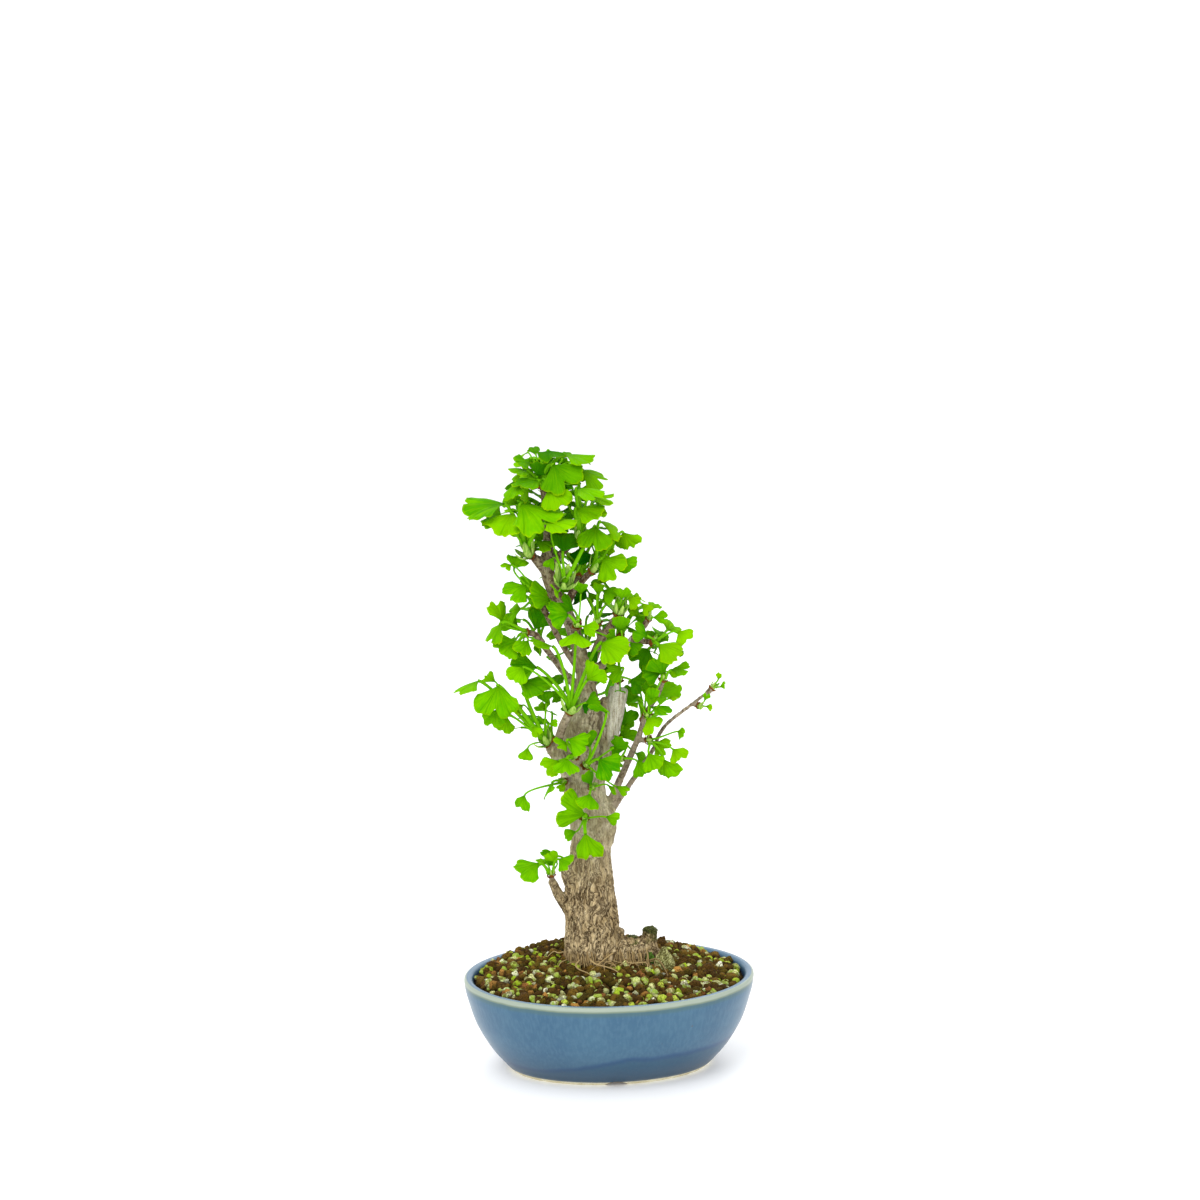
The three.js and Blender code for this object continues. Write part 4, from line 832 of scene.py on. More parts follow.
# foot is the point inside the wood that a spur grows from, and seat the spur's tip, where the spray sits.
# A leaf is [base x, y, z, tip x, y, z, facing, roll]: base is where its blade begins, tip the middle of
# its margin, and facing the angle between its upper face and straight up, towards the side that the
# spray is on. roll turns the blade about its own length. Angles are in degrees. scales is the count and
# the length of the bud scales.
sprays = [
    {"name": "crown_top", "foot": [-39, 6, 397], "seat": [-40, 6, 404], "leaves": [
        [-49, 2, 422, -58, -4, 425, 35], [-44, 8, 427, -45, 16, 432, 30], [-36, 0, 429, -34, -14, 425, 10],
        [-27, -2, 425, -8, -10, 424, 6], [-26, 10, 423, -26, 18, 429, 30],
        [-35, -8, 419, -25, -22, 405, 75], [-41, -8, 411, -55, -18, 411, 12],
        [-56, -4, 411, -65, -10, 402, 50, 45], [-49, 0, 417, -57, -8, 418, 25],
        [-35, -16, 408, -29, -26, 395, 80], [-44, 2, 414, -41, -2, 423, 70],
        [-18, 8, 407, -15, 8, 413, 70]]},
    {"name": "crown_right", "foot": [-25, 1, 363], "seat": [-19, -2, 369], "scales": [3, 9], "leaves": [
        [-21, -19, 408, -7, -31, 404, 14], [-14, 2, 416, 4, 0, 408, 22], [-8, -4, 397, 8, -8, 396, 12],
        [-19, -12, 394, -3, -20, 390, 35], [-24, 6, 382, -33, -6, 385, 50]]},
    {"name": "crown_left", "foot": [-44, 0, 356], "seat": [-48, -2, 359], "scales": [3, 9], "leaves": [
        [-61, -12, 390, -70, -30, 382, 20], [-57, -13, 391, -38, -32, 381, 24],
        [-42, -20, 384, -26, -32, 383, 15], [-66, -4, 396, -94.5, -9, 394, 14],
        [-65, -8, 386, -79, -2, 386, 35], [-58, 4, 394, -66, 8, 400, 40]]},
    {"name": "crown_front", "foot": [-34, 5, 334], "seat": [-29, -14, 341], "scales": [3, 11], "leaves": [
        [-6, -8, 379, -9.5, -20, 365, 35], [-29, -12, 364, -26, -4, 376, 90],
        [-16, -2, 352, -13, 4, 362, 90], [-33, -14, 383, -28, -18, 389, 60]]},
    {"name": "upper_right", "foot": [-16, 1, 340], "seat": [-9, -2, 347], "scales": [2, 8], "leaves": [
        [-1, -8, 357, 10, -16, 347, 70], [10, 2, 354, 19, 4, 345, 60, 45], [5, 2, 357, 6, 6, 363, 70],
        [-2, 6, 378, 14, 12, 372, 22], [15, 12, 372, 20, 14, 359, 40, 50]]},
    {"name": "upper_left", "foot": [-41, -1, 322], "seat": [-43, -2, 328], "leaves": [
        [-37, -6, 329, -50, -14, 338, 45], [-52, -4, 339, -66, -10, 335, 35],
        [-61, -2, 351, -57, 2, 360, 70], [-63, -6, 354, -69, -10, 353, 40],
        [-56, 6, 322, -66, 14, 318, 50]]},
    {"name": "left_branch", "foot": [-47, -3, 306], "seat": [-52, -4, 307], "leaves": [
        [-70, -10, 315, -80, -14, 303, 60, 50], [-70, -6, 316, -72, -2, 330, 75, 50],
        [-56, 4, 309, -67, 8, 315, 60], [-59, -8, 303, -74, -16, 301, 40],
        [-53, -12, 303, -59, -18, 296, 80], [-49, 4, 309, -43, 4, 322, 70]]},
    {"name": "centre_front", "foot": [-22, 6, 309], "seat": [-20, -18, 314], "leaves": [
        [-25, -18, 320, -39, -24, 325, 45], [-22, -8, 323, -32, -10, 331, 50],
        [-17, -16, 335, -17, -18, 343, 85], [-16, -22, 312, -7, -28, 310, 40]]},
    {"name": "centre_high", "foot": [-3, 0, 299], "seat": [-5, -4, 311], "leaves": [
        [-5, -6, 333, -4, -8, 340, 85], [0, -2, 334, 9, -6, 330, 50], [-11, 6, 328, -19, 14, 329, 60]]},
    {"name": "right_branch", "foot": [4, -2, 309], "seat": [8, -4, 317], "scales": [3, 8], "leaves": [
        [11, -6, 328, 12, -8, 336, 85], [16, -6, 330, 23, -10, 325, 75], [9, 0, 328, 1, 4, 333, 50],
        [26, 0, 324, 32, -2, 318, 50]]},
    {"name": "right_upper", "foot": [26, 4, 306], "seat": [30, 4, 312], "leaves": [
        [34, 2, 314, 44, 0, 314, 40], [24, 3, 316, 18, 4, 321, 60], [33, 14, 317, 37, 22, 320, 40]]},
    {"name": "right_outer", "foot": [27, -1, 298], "seat": [31, -2, 298], "leaves": [
        [50, -2, 304, 57, -8, 299, 60], [36, -12, 298, 50, -20, 292, 35], [26, -10, 304, 17, -14, 310, 60],
        [31, 8, 291, 21, 12, 278, 85], [44, 12, 303, 53, 22, 307, 50]]},
    {"name": "upright_tip", "foot": [37, -1, 265], "seat": [39, -2, 271], "leaves": [
        [39, -4, 276, 35, -8, 289, 65], [45, -6, 279, 57, -12, 280, 20], [38, 2, 274, 25, 0, 275, 45],
        [44, 6, 273, 52, 6, 271, 80], [31, -7, 259, 33, -8, 267, 80]]},
    {"name": "upright_middle", "foot": [28, 2, 248], "seat": [28, -3, 248], "leaves": [
        [28, -8, 247, 34, -14, 239, 88], [32, -4, 252, 45, -10, 250, 12], [22, -2, 256, 16, -6, 255, 10],
        [33, -3, 256, 36, -2, 265, 70], [43, 0, 258, 48, -2, 259, 20]]},
    {"name": "upright_low", "foot": [22, 4, 229], "seat": [28, -3, 230], "leaves": [
        [49, -6, 236, 51, -14, 236, 10, 70], [33, -4, 228, 42, -8, 223, 75],
        [45, -12, 225, 51, -18, 219, 75], [28, -14, 223, 33, -18, 212, 85],
        [38, -10, 218, 42, -12, 204, 85, 45]]},
    {"name": "fork_right", "foot": [16, 5, 215], "seat": [11, -4, 218], "leaves": [
        [10, -10, 225, 0, -14, 230, 60], [21, -5, 216, 26, -6, 206, 80]]},
    {"name": "fork_front", "foot": [-17, 6, 214], "seat": [-15, -10, 216], "leaves": [
        [-6, -18, 221, 5, -24, 212, 75], [-12, -12, 229, -16, -14, 239, 75],
        [-2, -26, 255, -8, -34, 265, 5], [6, -8, 228, 14, -10, 233, 80]]},
    {"name": "middle_front", "foot": [-20, 6, 222], "seat": [-22, -12, 223], "leaves": [
        [-27, -24, 236, -14, -30, 233, 50], [-28, -20, 234, -36, -26, 236, 35],
        [-29, -28, 225, -31, -36, 215, 65], [-34, -22, 222, -45, -28, 218, 50]]},
    {"name": "centre_low", "foot": [-28, -11, 248], "seat": [-26, -14, 253], "scales": [3, 9], "leaves": [
        [-37, -20, 299, -52, -26, 303, 8], [-22, -24, 312, -24, -38, 306, 40],
        [-4, -22, 302, 11, -32, 295, 42], [-14, -22, 277, -5, -30, 287, 80],
        [-47, -8, 284, -64, -12, 288, 40], [-57, -18, 286, -64, -24, 278, 85]]},
    {"name": "left_low", "foot": [-37, -3, 226], "seat": [-40, -6, 230], "scales": [3, 8], "leaves": [
        [-74, -14, 273, -77, -22, 253, 85], [-75, -8, 256, -79, -10, 245, 85],
        [-67, -4, 249, -71, -4, 238, 80], [-75, 0, 274, -82, 4, 279, 70],
        [-86, -8, 276, -102.5, -14, 272, -4], [-56, -4, 257, -62, -8, 254, 80],
        [-51, -18, 245, -47, -22, 240, 80], [-54, -6, 228, -56, -8, 219, 88],
        [-39, -14, 246, -34, -18, 248, 60], [-57, -6, 274, -41, -16, 268, 25]]},
    {"name": "trunk_left", "foot": [-22, 6, 203], "seat": [-29, -6, 204], "leaves": [
        [-39, -14, 207, -47, -20, 198, 30, 60], [-30, -12, 204, -33, -16, 200, 60],
        [-57, -16, 197, -61, -18, 187, 80, 50]]},
    {"name": "trunk_front", "foot": [-13, 6, 177], "seat": [-16, -10, 179], "leaves": [
        [-17, -19, 183.5, -35, -28, 191, 85], [-2, -18, 181, 6, -22, 179, 80],
        [-17, -24, 171, -15, -28, 153, 90, 30]]},
    {"name": "trunk_high", "foot": [-13, 6, 198], "seat": [-11, -8, 200], "leaves": [
        [-14, -26, 199, -17, -34, 191, 75], [-12, -14, 203, -12, -16, 214, 80, 50],
        [0, -14, 202, 4, -18, 197, 80, 60]]},
    {"name": "stub_tip", "foot": [-38, 0, 130], "seat": [-39, -2, 137], "leaves": [
        [-48, -6, 147, -63, -12, 143, 25], [-42, 4, 144, -50, 8, 146, 20], [-35, -2, 146, -40, 0, 154, 60],
        [-34, -10, 151, -28, -20, 149, 75]]},
    {"name": "leaning_tip", "foot": [70, 0, 261], "seat": [73, 0, 264], "leaves": [
        [77, -2, 270, 78, -2, 274, 70], [79, 0, 265, 82, -2, 267, 50], [76, -4, 268, 78, -6, 269, 50]]},
    {"name": "leaning_node", "foot": [60, 0, 254], "seat": [63, -2, 253], "leaves": [
        [67, -2, 255, 69, -2, 260, 70], [69, -2, 252, 73, -4, 252, 60]]},
    {"name": "stump_rear", "foot": [3, 9, 226], "seat": [9, 17, 227], "leaves": [
        [16, 14, 238, 20, 14, 250, 88], [15, 20, 231, 15, 24, 241, 75], [13, 14, 229, 21, 16, 236, 80],
        [6, 26, 231, 7, 34, 238, 60]]},
    {"name": "stump_top", "foot": [6, 7, 258], "seat": [9, 0, 271], "leaves": [
        [10, -14, 283, 0, -20, 280, 75], [13, 6, 272, 23, 8, 266, 80], [6, 14, 275, -1, 22, 279, 60]]},
    {"name": "branch_bud", "foot": [12, 5, 293], "seat": [12, -6, 297], "leaves": [
        [12, -10, 306, 12, -12, 316, 80], [17, -8, 299, 23, -10, 292, 80],
        [7, -10, 304, 2, -14, 310, 70]]},
]

# Sprays at the back, whose leaves are laid round the spur's own line by the golden angle.
rearSprays = [
    {"name": "rear_crown", "foot": [-38, 5, 378], "seat": [-36, 15, 384], "count": 5},
    {"name": "rear_crown_left", "foot": [-40, 3, 350], "seat": [-47, 15, 358], "count": 4},
    {"name": "rear_upper", "foot": [-29, 6, 324], "seat": [-34, 18, 327], "count": 4},
    {"name": "rear_upper_right", "foot": [-20, 3, 334], "seat": [-16, 18, 340], "count": 4},
    {"name": "rear_left_branch", "foot": [-36, 0, 290], "seat": [-42, 12, 296], "count": 4},
    {"name": "rear_centre", "foot": [-16, 8, 287], "seat": [-12, 20, 292], "count": 4},
    {"name": "rear_right_branch", "foot": [8, 6, 290], "seat": [12, 17, 298], "count": 4},
    {"name": "rear_middle", "foot": [-16, 10, 246], "seat": [-13, 27, 252], "count": 4},
    {"name": "rear_low_left", "foot": [-18, 10, 218], "seat": [-33, 22, 226], "count": 5},
    {"name": "rear_stem", "foot": [-12, 10, 184], "seat": [-9, 27, 190], "count": 4},
    {"name": "rear_upright", "foot": [24, 3.5, 235], "seat": [27, 11, 240], "count": 4},
    {"name": "rear_low", "foot": [-16, 10, 126], "seat": [-20, 29, 132], "count": 2},
]

wood = {"voxel": 0.79, "smoothing": 5, "evening": (12, 0.6), "ringStep": 2.0, "trunkSides": 64,
        "limbSides": 24, "twigSides": 16, "thick": 3.5, "lobe": 0.05, "postStep": 3,
        "spurRadius": 2.2, "spurFoot": 0.8, "scarStep": 0.7, "scar": 0.24, "scarTurns": 2.9,
        # how much slimmer than the solids these limbs get towards their ends
        "slim": {"low_stub": 0.24, "root_stump": 0.12, "leaning_twig": 0.17, "upright_twig": 0.14},
        # a web of old wood joins the trunk's broken top to the stump
        "web": [[-3, 10, 222, 6.5], [-1, 9.5, 238, 6.6], [1, 9, 252, 5.4], [2, 8.5, 258, 3.6]]}


def placeSpray(order, row):
    # the spur's own line, and two directions across it
    foot, seat = (np.array(row[key], float) for key in ("foot", "seat"))
    axis = unit(seat - foot)
    rightWay = unit(np.cross(axis, (0.3, 0.2, 1)))
    return {**row, "order": order, "foot": foot, "seat": seat, "axis": axis, "right": rightWay,
            "over": np.cross(rightWay, axis), "rear": "count" in row}


placed = [placeSpray(order, row) for order, row in enumerate(sprays + rearSprays)]


def spurLine(spray):
    radius = wood["spurRadius"]
    return [[*spray["foot"], radius * wood["spurFoot"]], [*spray["seat"], radius]]


def trunkLobes(angle, along):
    # shallow lobes, three and five round the trunk, that turn slowly along it
    waves = np.sin(3 * angle + 2.2 * along) + 0.6 * np.sin(5 * angle - 1.7 * along)
    return 1 + wood["lobe"] * waves


def limbTube(name, line):
    # a tube along the limb's curve whose radius goes straight from each row's to the next
    rows = np.array(line, float)
    chord = unit(rows[-1, :3] - rows[0, :3])
    across = (0, 0, 1) if abs(chord[1]) > 0.8 else (0, 1, 0)
    length = curveLength(line)
    ringed = name.startswith("spur_")
    least, step = (8, "scarStep") if ringed else (3, "ringStep")
    count = max(least, round(length / wood[step]))
    share = np.arange(count + 1) / count
    radii = np.interp(share, np.arange(len(rows)) / (len(rows) - 1), rows[:, 3])
    if ringed:
        # a short shoot is ringed by the scars of the leaves of other years
        radii = radii + wood["scar"] * np.cos(share * length * wood["scarTurns"])
    radii = radii * (1 - wood["slim"].get(name, 0) * np.sqrt(share))
    if name == "trunk":
        return closedTube(curveAt(line, share), radii, across, wood["trunkSides"], trunkLobes)
    sides = wood["limbSides" if rows[:, 3].max() > wood["thick"] else "twigSides"]
    return closedTube(curveAt(line, share), radii, across, sides)


def postsAlong(line):
    # balls along a limb that stand for it: their middles and radii
    count = math.ceil(curveLength(line) / wood["postStep"])
    share = np.arange(count + 1) / count
    rows = np.array(line, float)
    return np.column_stack([curveAt(line, share),
                            np.interp(share * (len(rows) - 1), np.arange(len(rows)), rows[:, 3])])


def smoothed(values, ends, rounds, share=0.5):
    # the values at each point go part of the way to the mean of its neighbours
    degree = np.bincount(ends.ravel(), minlength=len(values))[:, None]
    for _ in range(rounds):
        total = np.zeros_like(values)
        for axis in range(values.shape[1]):
            total[:, axis] = (np.bincount(ends[:, 0], values[ends[:, 1], axis], len(values))
                              + np.bincount(ends[:, 1], values[ends[:, 0], axis], len(values)))
        values = values + share * (total / degree - values)
    return values


def nearestRadius(points, posts, batch=4000):
    # the radius of the limb that each point lies on
    radius = np.empty(len(points))
    for start in range(0, len(points), batch):
        some = points[start:start + batch]
        away = np.linalg.norm(some[:, None] - posts[None, :, :3], axis=-1) - posts[None, :, 3]
        radius[start:start + batch] = posts[away.argmin(axis=1), 3]
    return radius


# Sizes of the bark's cracks, scratches and lumps across and along the wood, and how deep they go, in
# mm. lineScales holds the scale and the width of each kind of thin dark line.
bark = {"crackSize": (3.2, 3.2, 11), "crackWidth": 0.1, "crackBend": 0.9, "fissure": 0.8,
        "scratchSize": (1.7, 1.7, 5.5), "scratchWidth": 0.12, "scratchBend": 0.5, "scratch": 0.35,
        "lumpSize": (8, 8, 10), "lump": 0.85, "fineSize": 1.5, "fine": 0.34, "twigFine": 0.16,
        "ribs": 6, "rib": 0.5, "flutes": 96, "flute": 0.42, "splitSize": (2.4, 2.4, 22),
        "pitSize": (1.5, 1.5, 3), "lineDrift": 75, "lineBend": 0.014, "lineStretch": 0.19,
        "lineCore": 0.008, "lineScales": ((240, 0.05), (460, 0.052))}


def barkRelief(points, radius):
    # how far each point moves out: lumps and fine noise, less the cracks and scratches, with ribs that
    # flare towards the roots and flutes on the root that fans out to the right
    x, y, height = points.T
    # old bark at the foot is deep and long in its cracks; above the forks it is young and even
    old = np.maximum(ramp(height, 185, 125), 0.22)
    weight = np.maximum(ramp(radius, 1.6, 10.6), 0.07)
    warp = np.stack([layeredNoise(points / 11, 2, 31), layeredNoise(points / 11, 2, 32),
                     layeredNoise(points / 9, 2, 33)], -1)
    groove = ridgeNoise(points / bark["crackSize"] + bark["crackBend"] * warp, 2, 41, bark["crackWidth"])
    scratch = ridgeNoise(points / bark["scratchSize"] + bark["scratchBend"] * warp, 2, 47,
                         bark["scratchWidth"])
    lump = layeredNoise(points / bark["lumpSize"], 3, 51)
    fine = layeredNoise(points / bark["fineSize"], 2, 57)
    turn = np.arctan2(y - 10, x + 10.5)
    ribs = np.sin(bark["ribs"] * turn + 1.3 + 0.6 * lump) * ramp(height, 100, 75)
    # the flutes spread from the root's upper end like the ribs of a fan
    fan = ramp(x, 2, 7) * ramp(height, 96, 88)
    flutes = np.sin(np.arctan2(x + 2, np.maximum(102 - height, 1)) * bark["flutes"] + 2.6 * lump)
    depth = weight * (bark["lump"] * lump * (0.5 + 0.5 * old) + bark["fine"] * fine
                      - bark["fissure"] * groove * old * (1 - 0.6 * fan) - bark["scratch"] * scratch * old
                      + bark["rib"] * ribs * (1 - fan) + bark["flute"] * flutes * fan)
    depth = np.where(radius > 3, depth, depth + bark["twigFine"] * fine)
    # the last but one value marks the flute valleys, which get painted shade
    return depth, old, groove, scratch, lump, fan * np.clip(-flutes, 0, 1), fan


def woodMarks(points, height, radius, old, groove, scratch, lump, fluteShade, fan):
    # how dark, young and cut the wood is and how mossy, from 0 to 1. Dark holds cracks, scratches and
    # pits, and painted shade in the root's flute valleys and on the web between trunk and stump
    x, y = points[:, 0], points[:, 1]
    # the stump's cut top looks up and a little to the right
    overCut = (points - (10, 6, 265)) @ unit((3, -1, 15))
    cut = ramp(overCut, -0.9, -0.4) * (np.hypot(x - 10, y - 6) < 9) * (height > 255)
    # the sides of the stump are bare grey wood
    bare = ramp(x, 0.5, 3.5) * ramp(height, 218, 232) * (radius > 5)
    cut = np.maximum(cut, 0.75 * bare * (height < 275))
    # moss grows on the root stump, along the root's ridge and in hollows at the foot
    mossy = ramp(height, 88.4, 90) * (np.hypot(x - 30, y - 12) < 8)
    ridge = ramp(x, 12, 16) * ramp(height, 84, 86) * (lump > -0.1)
    mossy = np.maximum(mossy, 0.7 * ridge * (height < 92))
    mossy = np.maximum(mossy, 0.6 * ramp(height, 75, 71) * (lump > 0.15))
    young = ramp(radius, 4.2, 2.6)
    # the web between trunk and stump is split and pitted, and gets painted shade where it lies between the
    # two
    web = np.exp(-((x + 3.5) / 3) ** 2) * ramp(height, 205, 217) * ramp(height, 266, 258)
    splits = ridgeNoise(points / bark["splitSize"], 2, 43, 0.16)
    pits = np.clip(layeredNoise(points / bark["pitSize"], 2, 45) * 5 - 0.6, 0, 1)
    pits = pits * np.exp(-((x + 6) / 8) ** 2) * ramp(height, 196, 208) * (height < 270)
    dark = (groove * old * (1 - 0.5 * fan) + 0.5 * scratch * (0.35 + 0.65 * old) + 0.6 * fluteShade
            + web * (0.45 + 1.1 * splits) + pits)
    return np.clip(dark, 0, 1), young, cut, mossy


def makeTree():
    # all limbs are tubes that a remesh joins into one skin, which is smoothed and then gets its bark
    tubes = {**limbs, **roots, "web": wood["web"]}
    tubes.update({"spur_" + spray["name"]: spurLine(spray) for spray in placed})
    heap = Heap()
    for name, line in tubes.items():
        heap.add(*limbTube(name, line))
    holder = newObject("raw_wood", meshFrom("raw_wood", heap, True, 1))
    skin = holder.modifiers.new("skin", "REMESH")
    skin.mode, skin.voxel_size = "VOXEL", wood["voxel"]
    mesh = applied(holder)
    ends = readArray(mesh.edges, "vertices", 2, np.int32)
    normals = readArray(mesh.vertex_normals, "vector", 3)
    points = smoothed(readArray(mesh.vertices, "co", 3), ends, wood["smoothing"])
    radius = nearestRadius(points, np.vstack([postsAlong(line) for line in tubes.values()]))
    radius = smoothed(radius[:, None], ends, *wood["evening"])[:, 0]
    height = points[:, 2]
    depth, old, groove, scratch, lump, fluteShade, fan = barkRelief(points, radius)
    points = points + normals * depth[:, None]
    dark, young, cut, mossy = woodMarks(points, height, radius, old, groove, scratch, lump, fluteShade, fan)
    mesh.vertices.foreach_set("co", (points / 1000).ravel())
    addMark(mesh, "bark", np.column_stack([dark, young, lump]))
    addMark(mesh, "spots", np.column_stack([cut, mossy, old]))
    mesh.polygons.foreach_set("use_smooth", np.full(len(mesh.polygons), True))
    mesh.update()
    addPiece("wood", mesh, barkMaterial(), "bark", "tree")


barkTones = palette(
    ridge=(204, 182, 140), mid=(168, 146, 106), crack=(52, 34, 14), grey=(200, 196, 168),
    greyDark=(158, 150, 116), pale=(232, 216, 180), twig=(156, 140, 120), twigDark=(76, 56, 38),
    cut=(216, 213, 198), cutDark=(158, 150, 126), moss=(84, 100, 22), mossDark=(30, 36, 8),
    damp=(104, 80, 46))


def barkLines(shade, place):
    # thin dark lines wander down the bark where a long-drawn noise crosses its middle value
    drift = place.node("ShaderNodeTexNoise", None,
                       {"Vector": place, "Scale": bark["lineDrift"], "Detail": 2}, "Color")
    bent = place.node("ShaderNodeVectorMath", {"operation": "MULTIPLY_ADD"},
                      {0: drift, 1: (bark["lineBend"],) * 3, 2: place})
    bent = place.node("ShaderNodeMapping", None, {"Vector": bent, "Scale": (1, 1, bark["lineStretch"])})
    lines = []
    for scale, width in bark["lineScales"]:
        away = shade.maths("ABSOLUTE", grainNoise(bent, scale) - 0.5)
        lines.append(1 - steps(away, bark["lineCore"], width))
    return lines


def barkMaterial():
    material, shade, shader = newMaterial("bark", {"Specular IOR Level": 0.12})
    place = objectPlace(shade)
    height = parts(place)[2]
    dark, young = parts(ownAttribute(shade, "bark"))[:2]
    cut, mossy, old = parts(ownAttribute(shade, "spots"))
    fibre = grainNoise(objectPlace(shade, (1, 1, 0.28)), 620, 4, 0.65)
    patch = grainNoise(place, 70, 4, 0.6)
    fleck = grainNoise(place, 1500, 3, 0.6)
    wide, narrow = barkLines(shade, place)
    seams = shade.maths("MAXIMUM", wide * 0.82, narrow * 0.5) * (0.25 + old * 0.75)
    # knots and weathered patches darken the smooth wood higher up, and scars the twigs
    weather = steps(grainNoise(objectPlace(shade, (1, 1, 0.45)), 52, 4, 0.65), 0.55, 0.68)
    scars = grainNoise(place, 330, 4, 0.65) + steps(height, 0.29, 0.33) * 0.06
    ridge = blend(steps(patch, 0.36, 0.64), barkTones["mid"], barkTones["ridge"])
    pale = blend(steps(patch, 0.4, 0.66), barkTones["greyDark"], barkTones["grey"])
    # among these layers, the wood's dark marks hold painted shade in the root's flute valleys and on the
    # web between trunk and stump, as well as cracks, scratches and pits
    tone = layered(blend(old, pale, ridge), barkTones,
                   ("damp", (1 - steps(fibre, 0.3, 0.5)) * 0.5),
                   ("pale", steps(fibre, 0.54, 0.7) * 0.6),
                   ("crack", seams),
                   ("crack", steps(dark, 0.35, 0.9) * (0.35 + fibre * 0.6)),
                   ("damp", weather * (1 - old) * 0.5))
    twig = blend(steps(scars, 0.46, 0.66), barkTones["twig"], barkTones["twigDark"])
    tone = blend(young * 0.85, tone, twig)
    # the leader is rough and brown among the leaves
    aloft = steps(height, 0.272, 0.3)
    tone = layered(tone, barkTones, ("damp", aloft * 0.35),
                   ("twigDark", aloft * steps(scars, 0.5, 0.66) * 0.8))
    grainLine = grainNoise(objectPlace(shade, (1, 1, 0.06)), 700, 3, 0.7)
    cutTone = layered(barkTones["cut"], barkTones,
                      ("cutDark", steps(fleck * 0.4 + grainLine, 0.6, 0.84)),
                      ("crack", steps(grainLine, 0.6, 0.7) * 0.7))
    tone = blend(cut * (1 - steps(dark, 0.4, 0.9)), tone, cutTone)
    # the foot is damp and brown where it stands in the soil
    tone = blend((1 - steps(height + patch * 0.01, 0.076, 0.088)) * 0.6, tone, barkTones["damp"])
    mossTone = blend(fleck, barkTones["mossDark"], barkTones["moss"])
    tone = blend(mossy * steps(patch + fleck * 0.5, 0.5, 0.8), tone, mossTone)
    depth = fibre * 1.1 + fleck * 0.5 - dark * 0.8 - wide * old * 1.2 - narrow * 0.6
    feed(shade, shader, {"Base Color": tone, "Roughness": 0.9 - cut * 0.1,
                         "Normal": relief(shade, depth, 0.0007, 0.8)})
    return material


makeTree()
print("the wood is grown")

# The leaves follow the same rule, numbers and draws as the solids, so each one lies on its own solid.
# A pair of numbers is a span to draw from, or a share of a length and the most that it may be.
spur = {"radius": 2.2, "root": 1.6, "start": 2.1, "budSpace": 0.6}
leafShape = {"stalk": 1, "small": 10, "spread": (52, 65), "smallSpread": (40, 56),
             "notch": (0.08, 0.38), "notchWidth": 0.12, "cup": (-0.12, 0.14), "droop": (0.04, 0.2),
             "ripple": (0.02, 0.07), "ripples": 5, "wedge": 0.15, "corner": 0.16,
             "wave": 0.03, "waves": 9, "leaving": (0.3, 9), "arriving": (0.3, 5)}
umbrella = {"lean": (18, 62), "rise": 0.35, "stalk": (14, 28), "pitch": (-0.25, 0.35),
            "blade": (11, 19), "facing": (15, 70)}
clearance = {"rounds": 40, "bead": 3, "otherSpray": 3.4, "sameSpray": 2.4, "freeShare": 0.25,
             "wood": 1.7, "free": 4.5, "farPair": 24, "farWood": 14}
golden = math.pi * (3 - math.sqrt(5))


def reachOf(span, length):
    return min(span[0] * length, span[1])


def outwards(spray, turn):
    return spray["right"] * math.cos(turn) + spray["over"] * math.sin(turn)


def turnedAbout(vector, axis, angle):
    return (vector * math.cos(angle) + np.cross(axis, vector) * math.sin(angle)
            + axis * (axis @ vector) * (1 - math.cos(angle)))


def leafFrom(row, spray, outward, draw):
    # a leaf from its row in the table, with its own spread, notch and folds drawn in a fixed order
    base, tip = np.array(row[:3], float), np.array(row[3:6], float)
    radius = np.linalg.norm(tip - base)
    forward = (tip - base) / radius
    facing = math.radians(row[6])
    normal = np.array([0, outward * math.sin(facing), math.cos(facing)])
    normal = unit(normal - forward * (normal @ forward))
    normal = turnedAbout(normal, forward, math.radians(row[7] if len(row) > 7 else 0))
    small = radius < leafShape["small"]
    spread = math.radians(between(leafShape["smallSpread" if small else "spread"], draw()))
    notch = between(leafShape["notch"], draw() ** 2)
    phase = 2 * math.pi * draw()
    cup, droop, ripple = (between(leafShape[key], draw()) for key in ("cup", "droop", "ripple"))
    lean = base - spray["seat"]
    lean = unit(lean - spray["axis"] * (lean @ spray["axis"]))
    start = spray["seat"] + spray["axis"] * spur["start"] + lean * spur["root"]
    length = np.linalg.norm(base - start)
    leaf = {"base": base, "forward": forward, "normal": normal, "side": np.cross(forward, normal),
            "start": start, "leaving": start + spray["axis"] * reachOf(leafShape["leaving"], length),
            "shift": np.zeros(3), "radius": radius, "length": length, "spread": spread,
            "notch": notch, "phase": phase, "cup": cup, "droop": droop, "ripple": ripple,
            "spray": spray["order"], "seat": spray["seat"]}
    leaf["beads"], leaf["follow"] = beadsOf(leaf)
    leaf["reach"] = np.linalg.norm(leaf["beads"] - base, axis=1).max()
    return leaf


def bladePoint(leaf, share, turn):
    # a point on the middle of a blade. share runs from where the blade begins (0) to its margin (1),
    # turn from its left edge (-1) to its right one (1). The margin waves, has a cut in the middle and
    # round corners; the blade cups across, droops towards the margin and ripples.
    angle = leaf["spread"] * turn * (1 - leafShape["wedge"] * (1 - share))
    cut = leaf["notch"] * np.exp(-(turn / leafShape["notchWidth"]) ** 2) * share
    wave = leafShape["wave"] * np.cos(leafShape["waves"] * turn + leaf["phase"]) * share
    reach = leaf["radius"] * share * (1 - cut - leafShape["corner"] * turn ** 6 + wave)
    across = reach * np.sin(angle) + 0.5 * leafShape["stalk"] * turn * (1 - share)
    folds = leaf["cup"] * turn ** 2 * share - leaf["droop"] * share ** 2
    ripples = leaf["ripple"] * share ** 2 * np.sin(leafShape["ripples"] * turn + leaf["phase"])
    lift = leaf["radius"] * (folds + ripples)
    return (across[..., None] * leaf["side"] + (reach * np.cos(angle))[..., None] * leaf["forward"]
            + lift[..., None] * leaf["normal"])


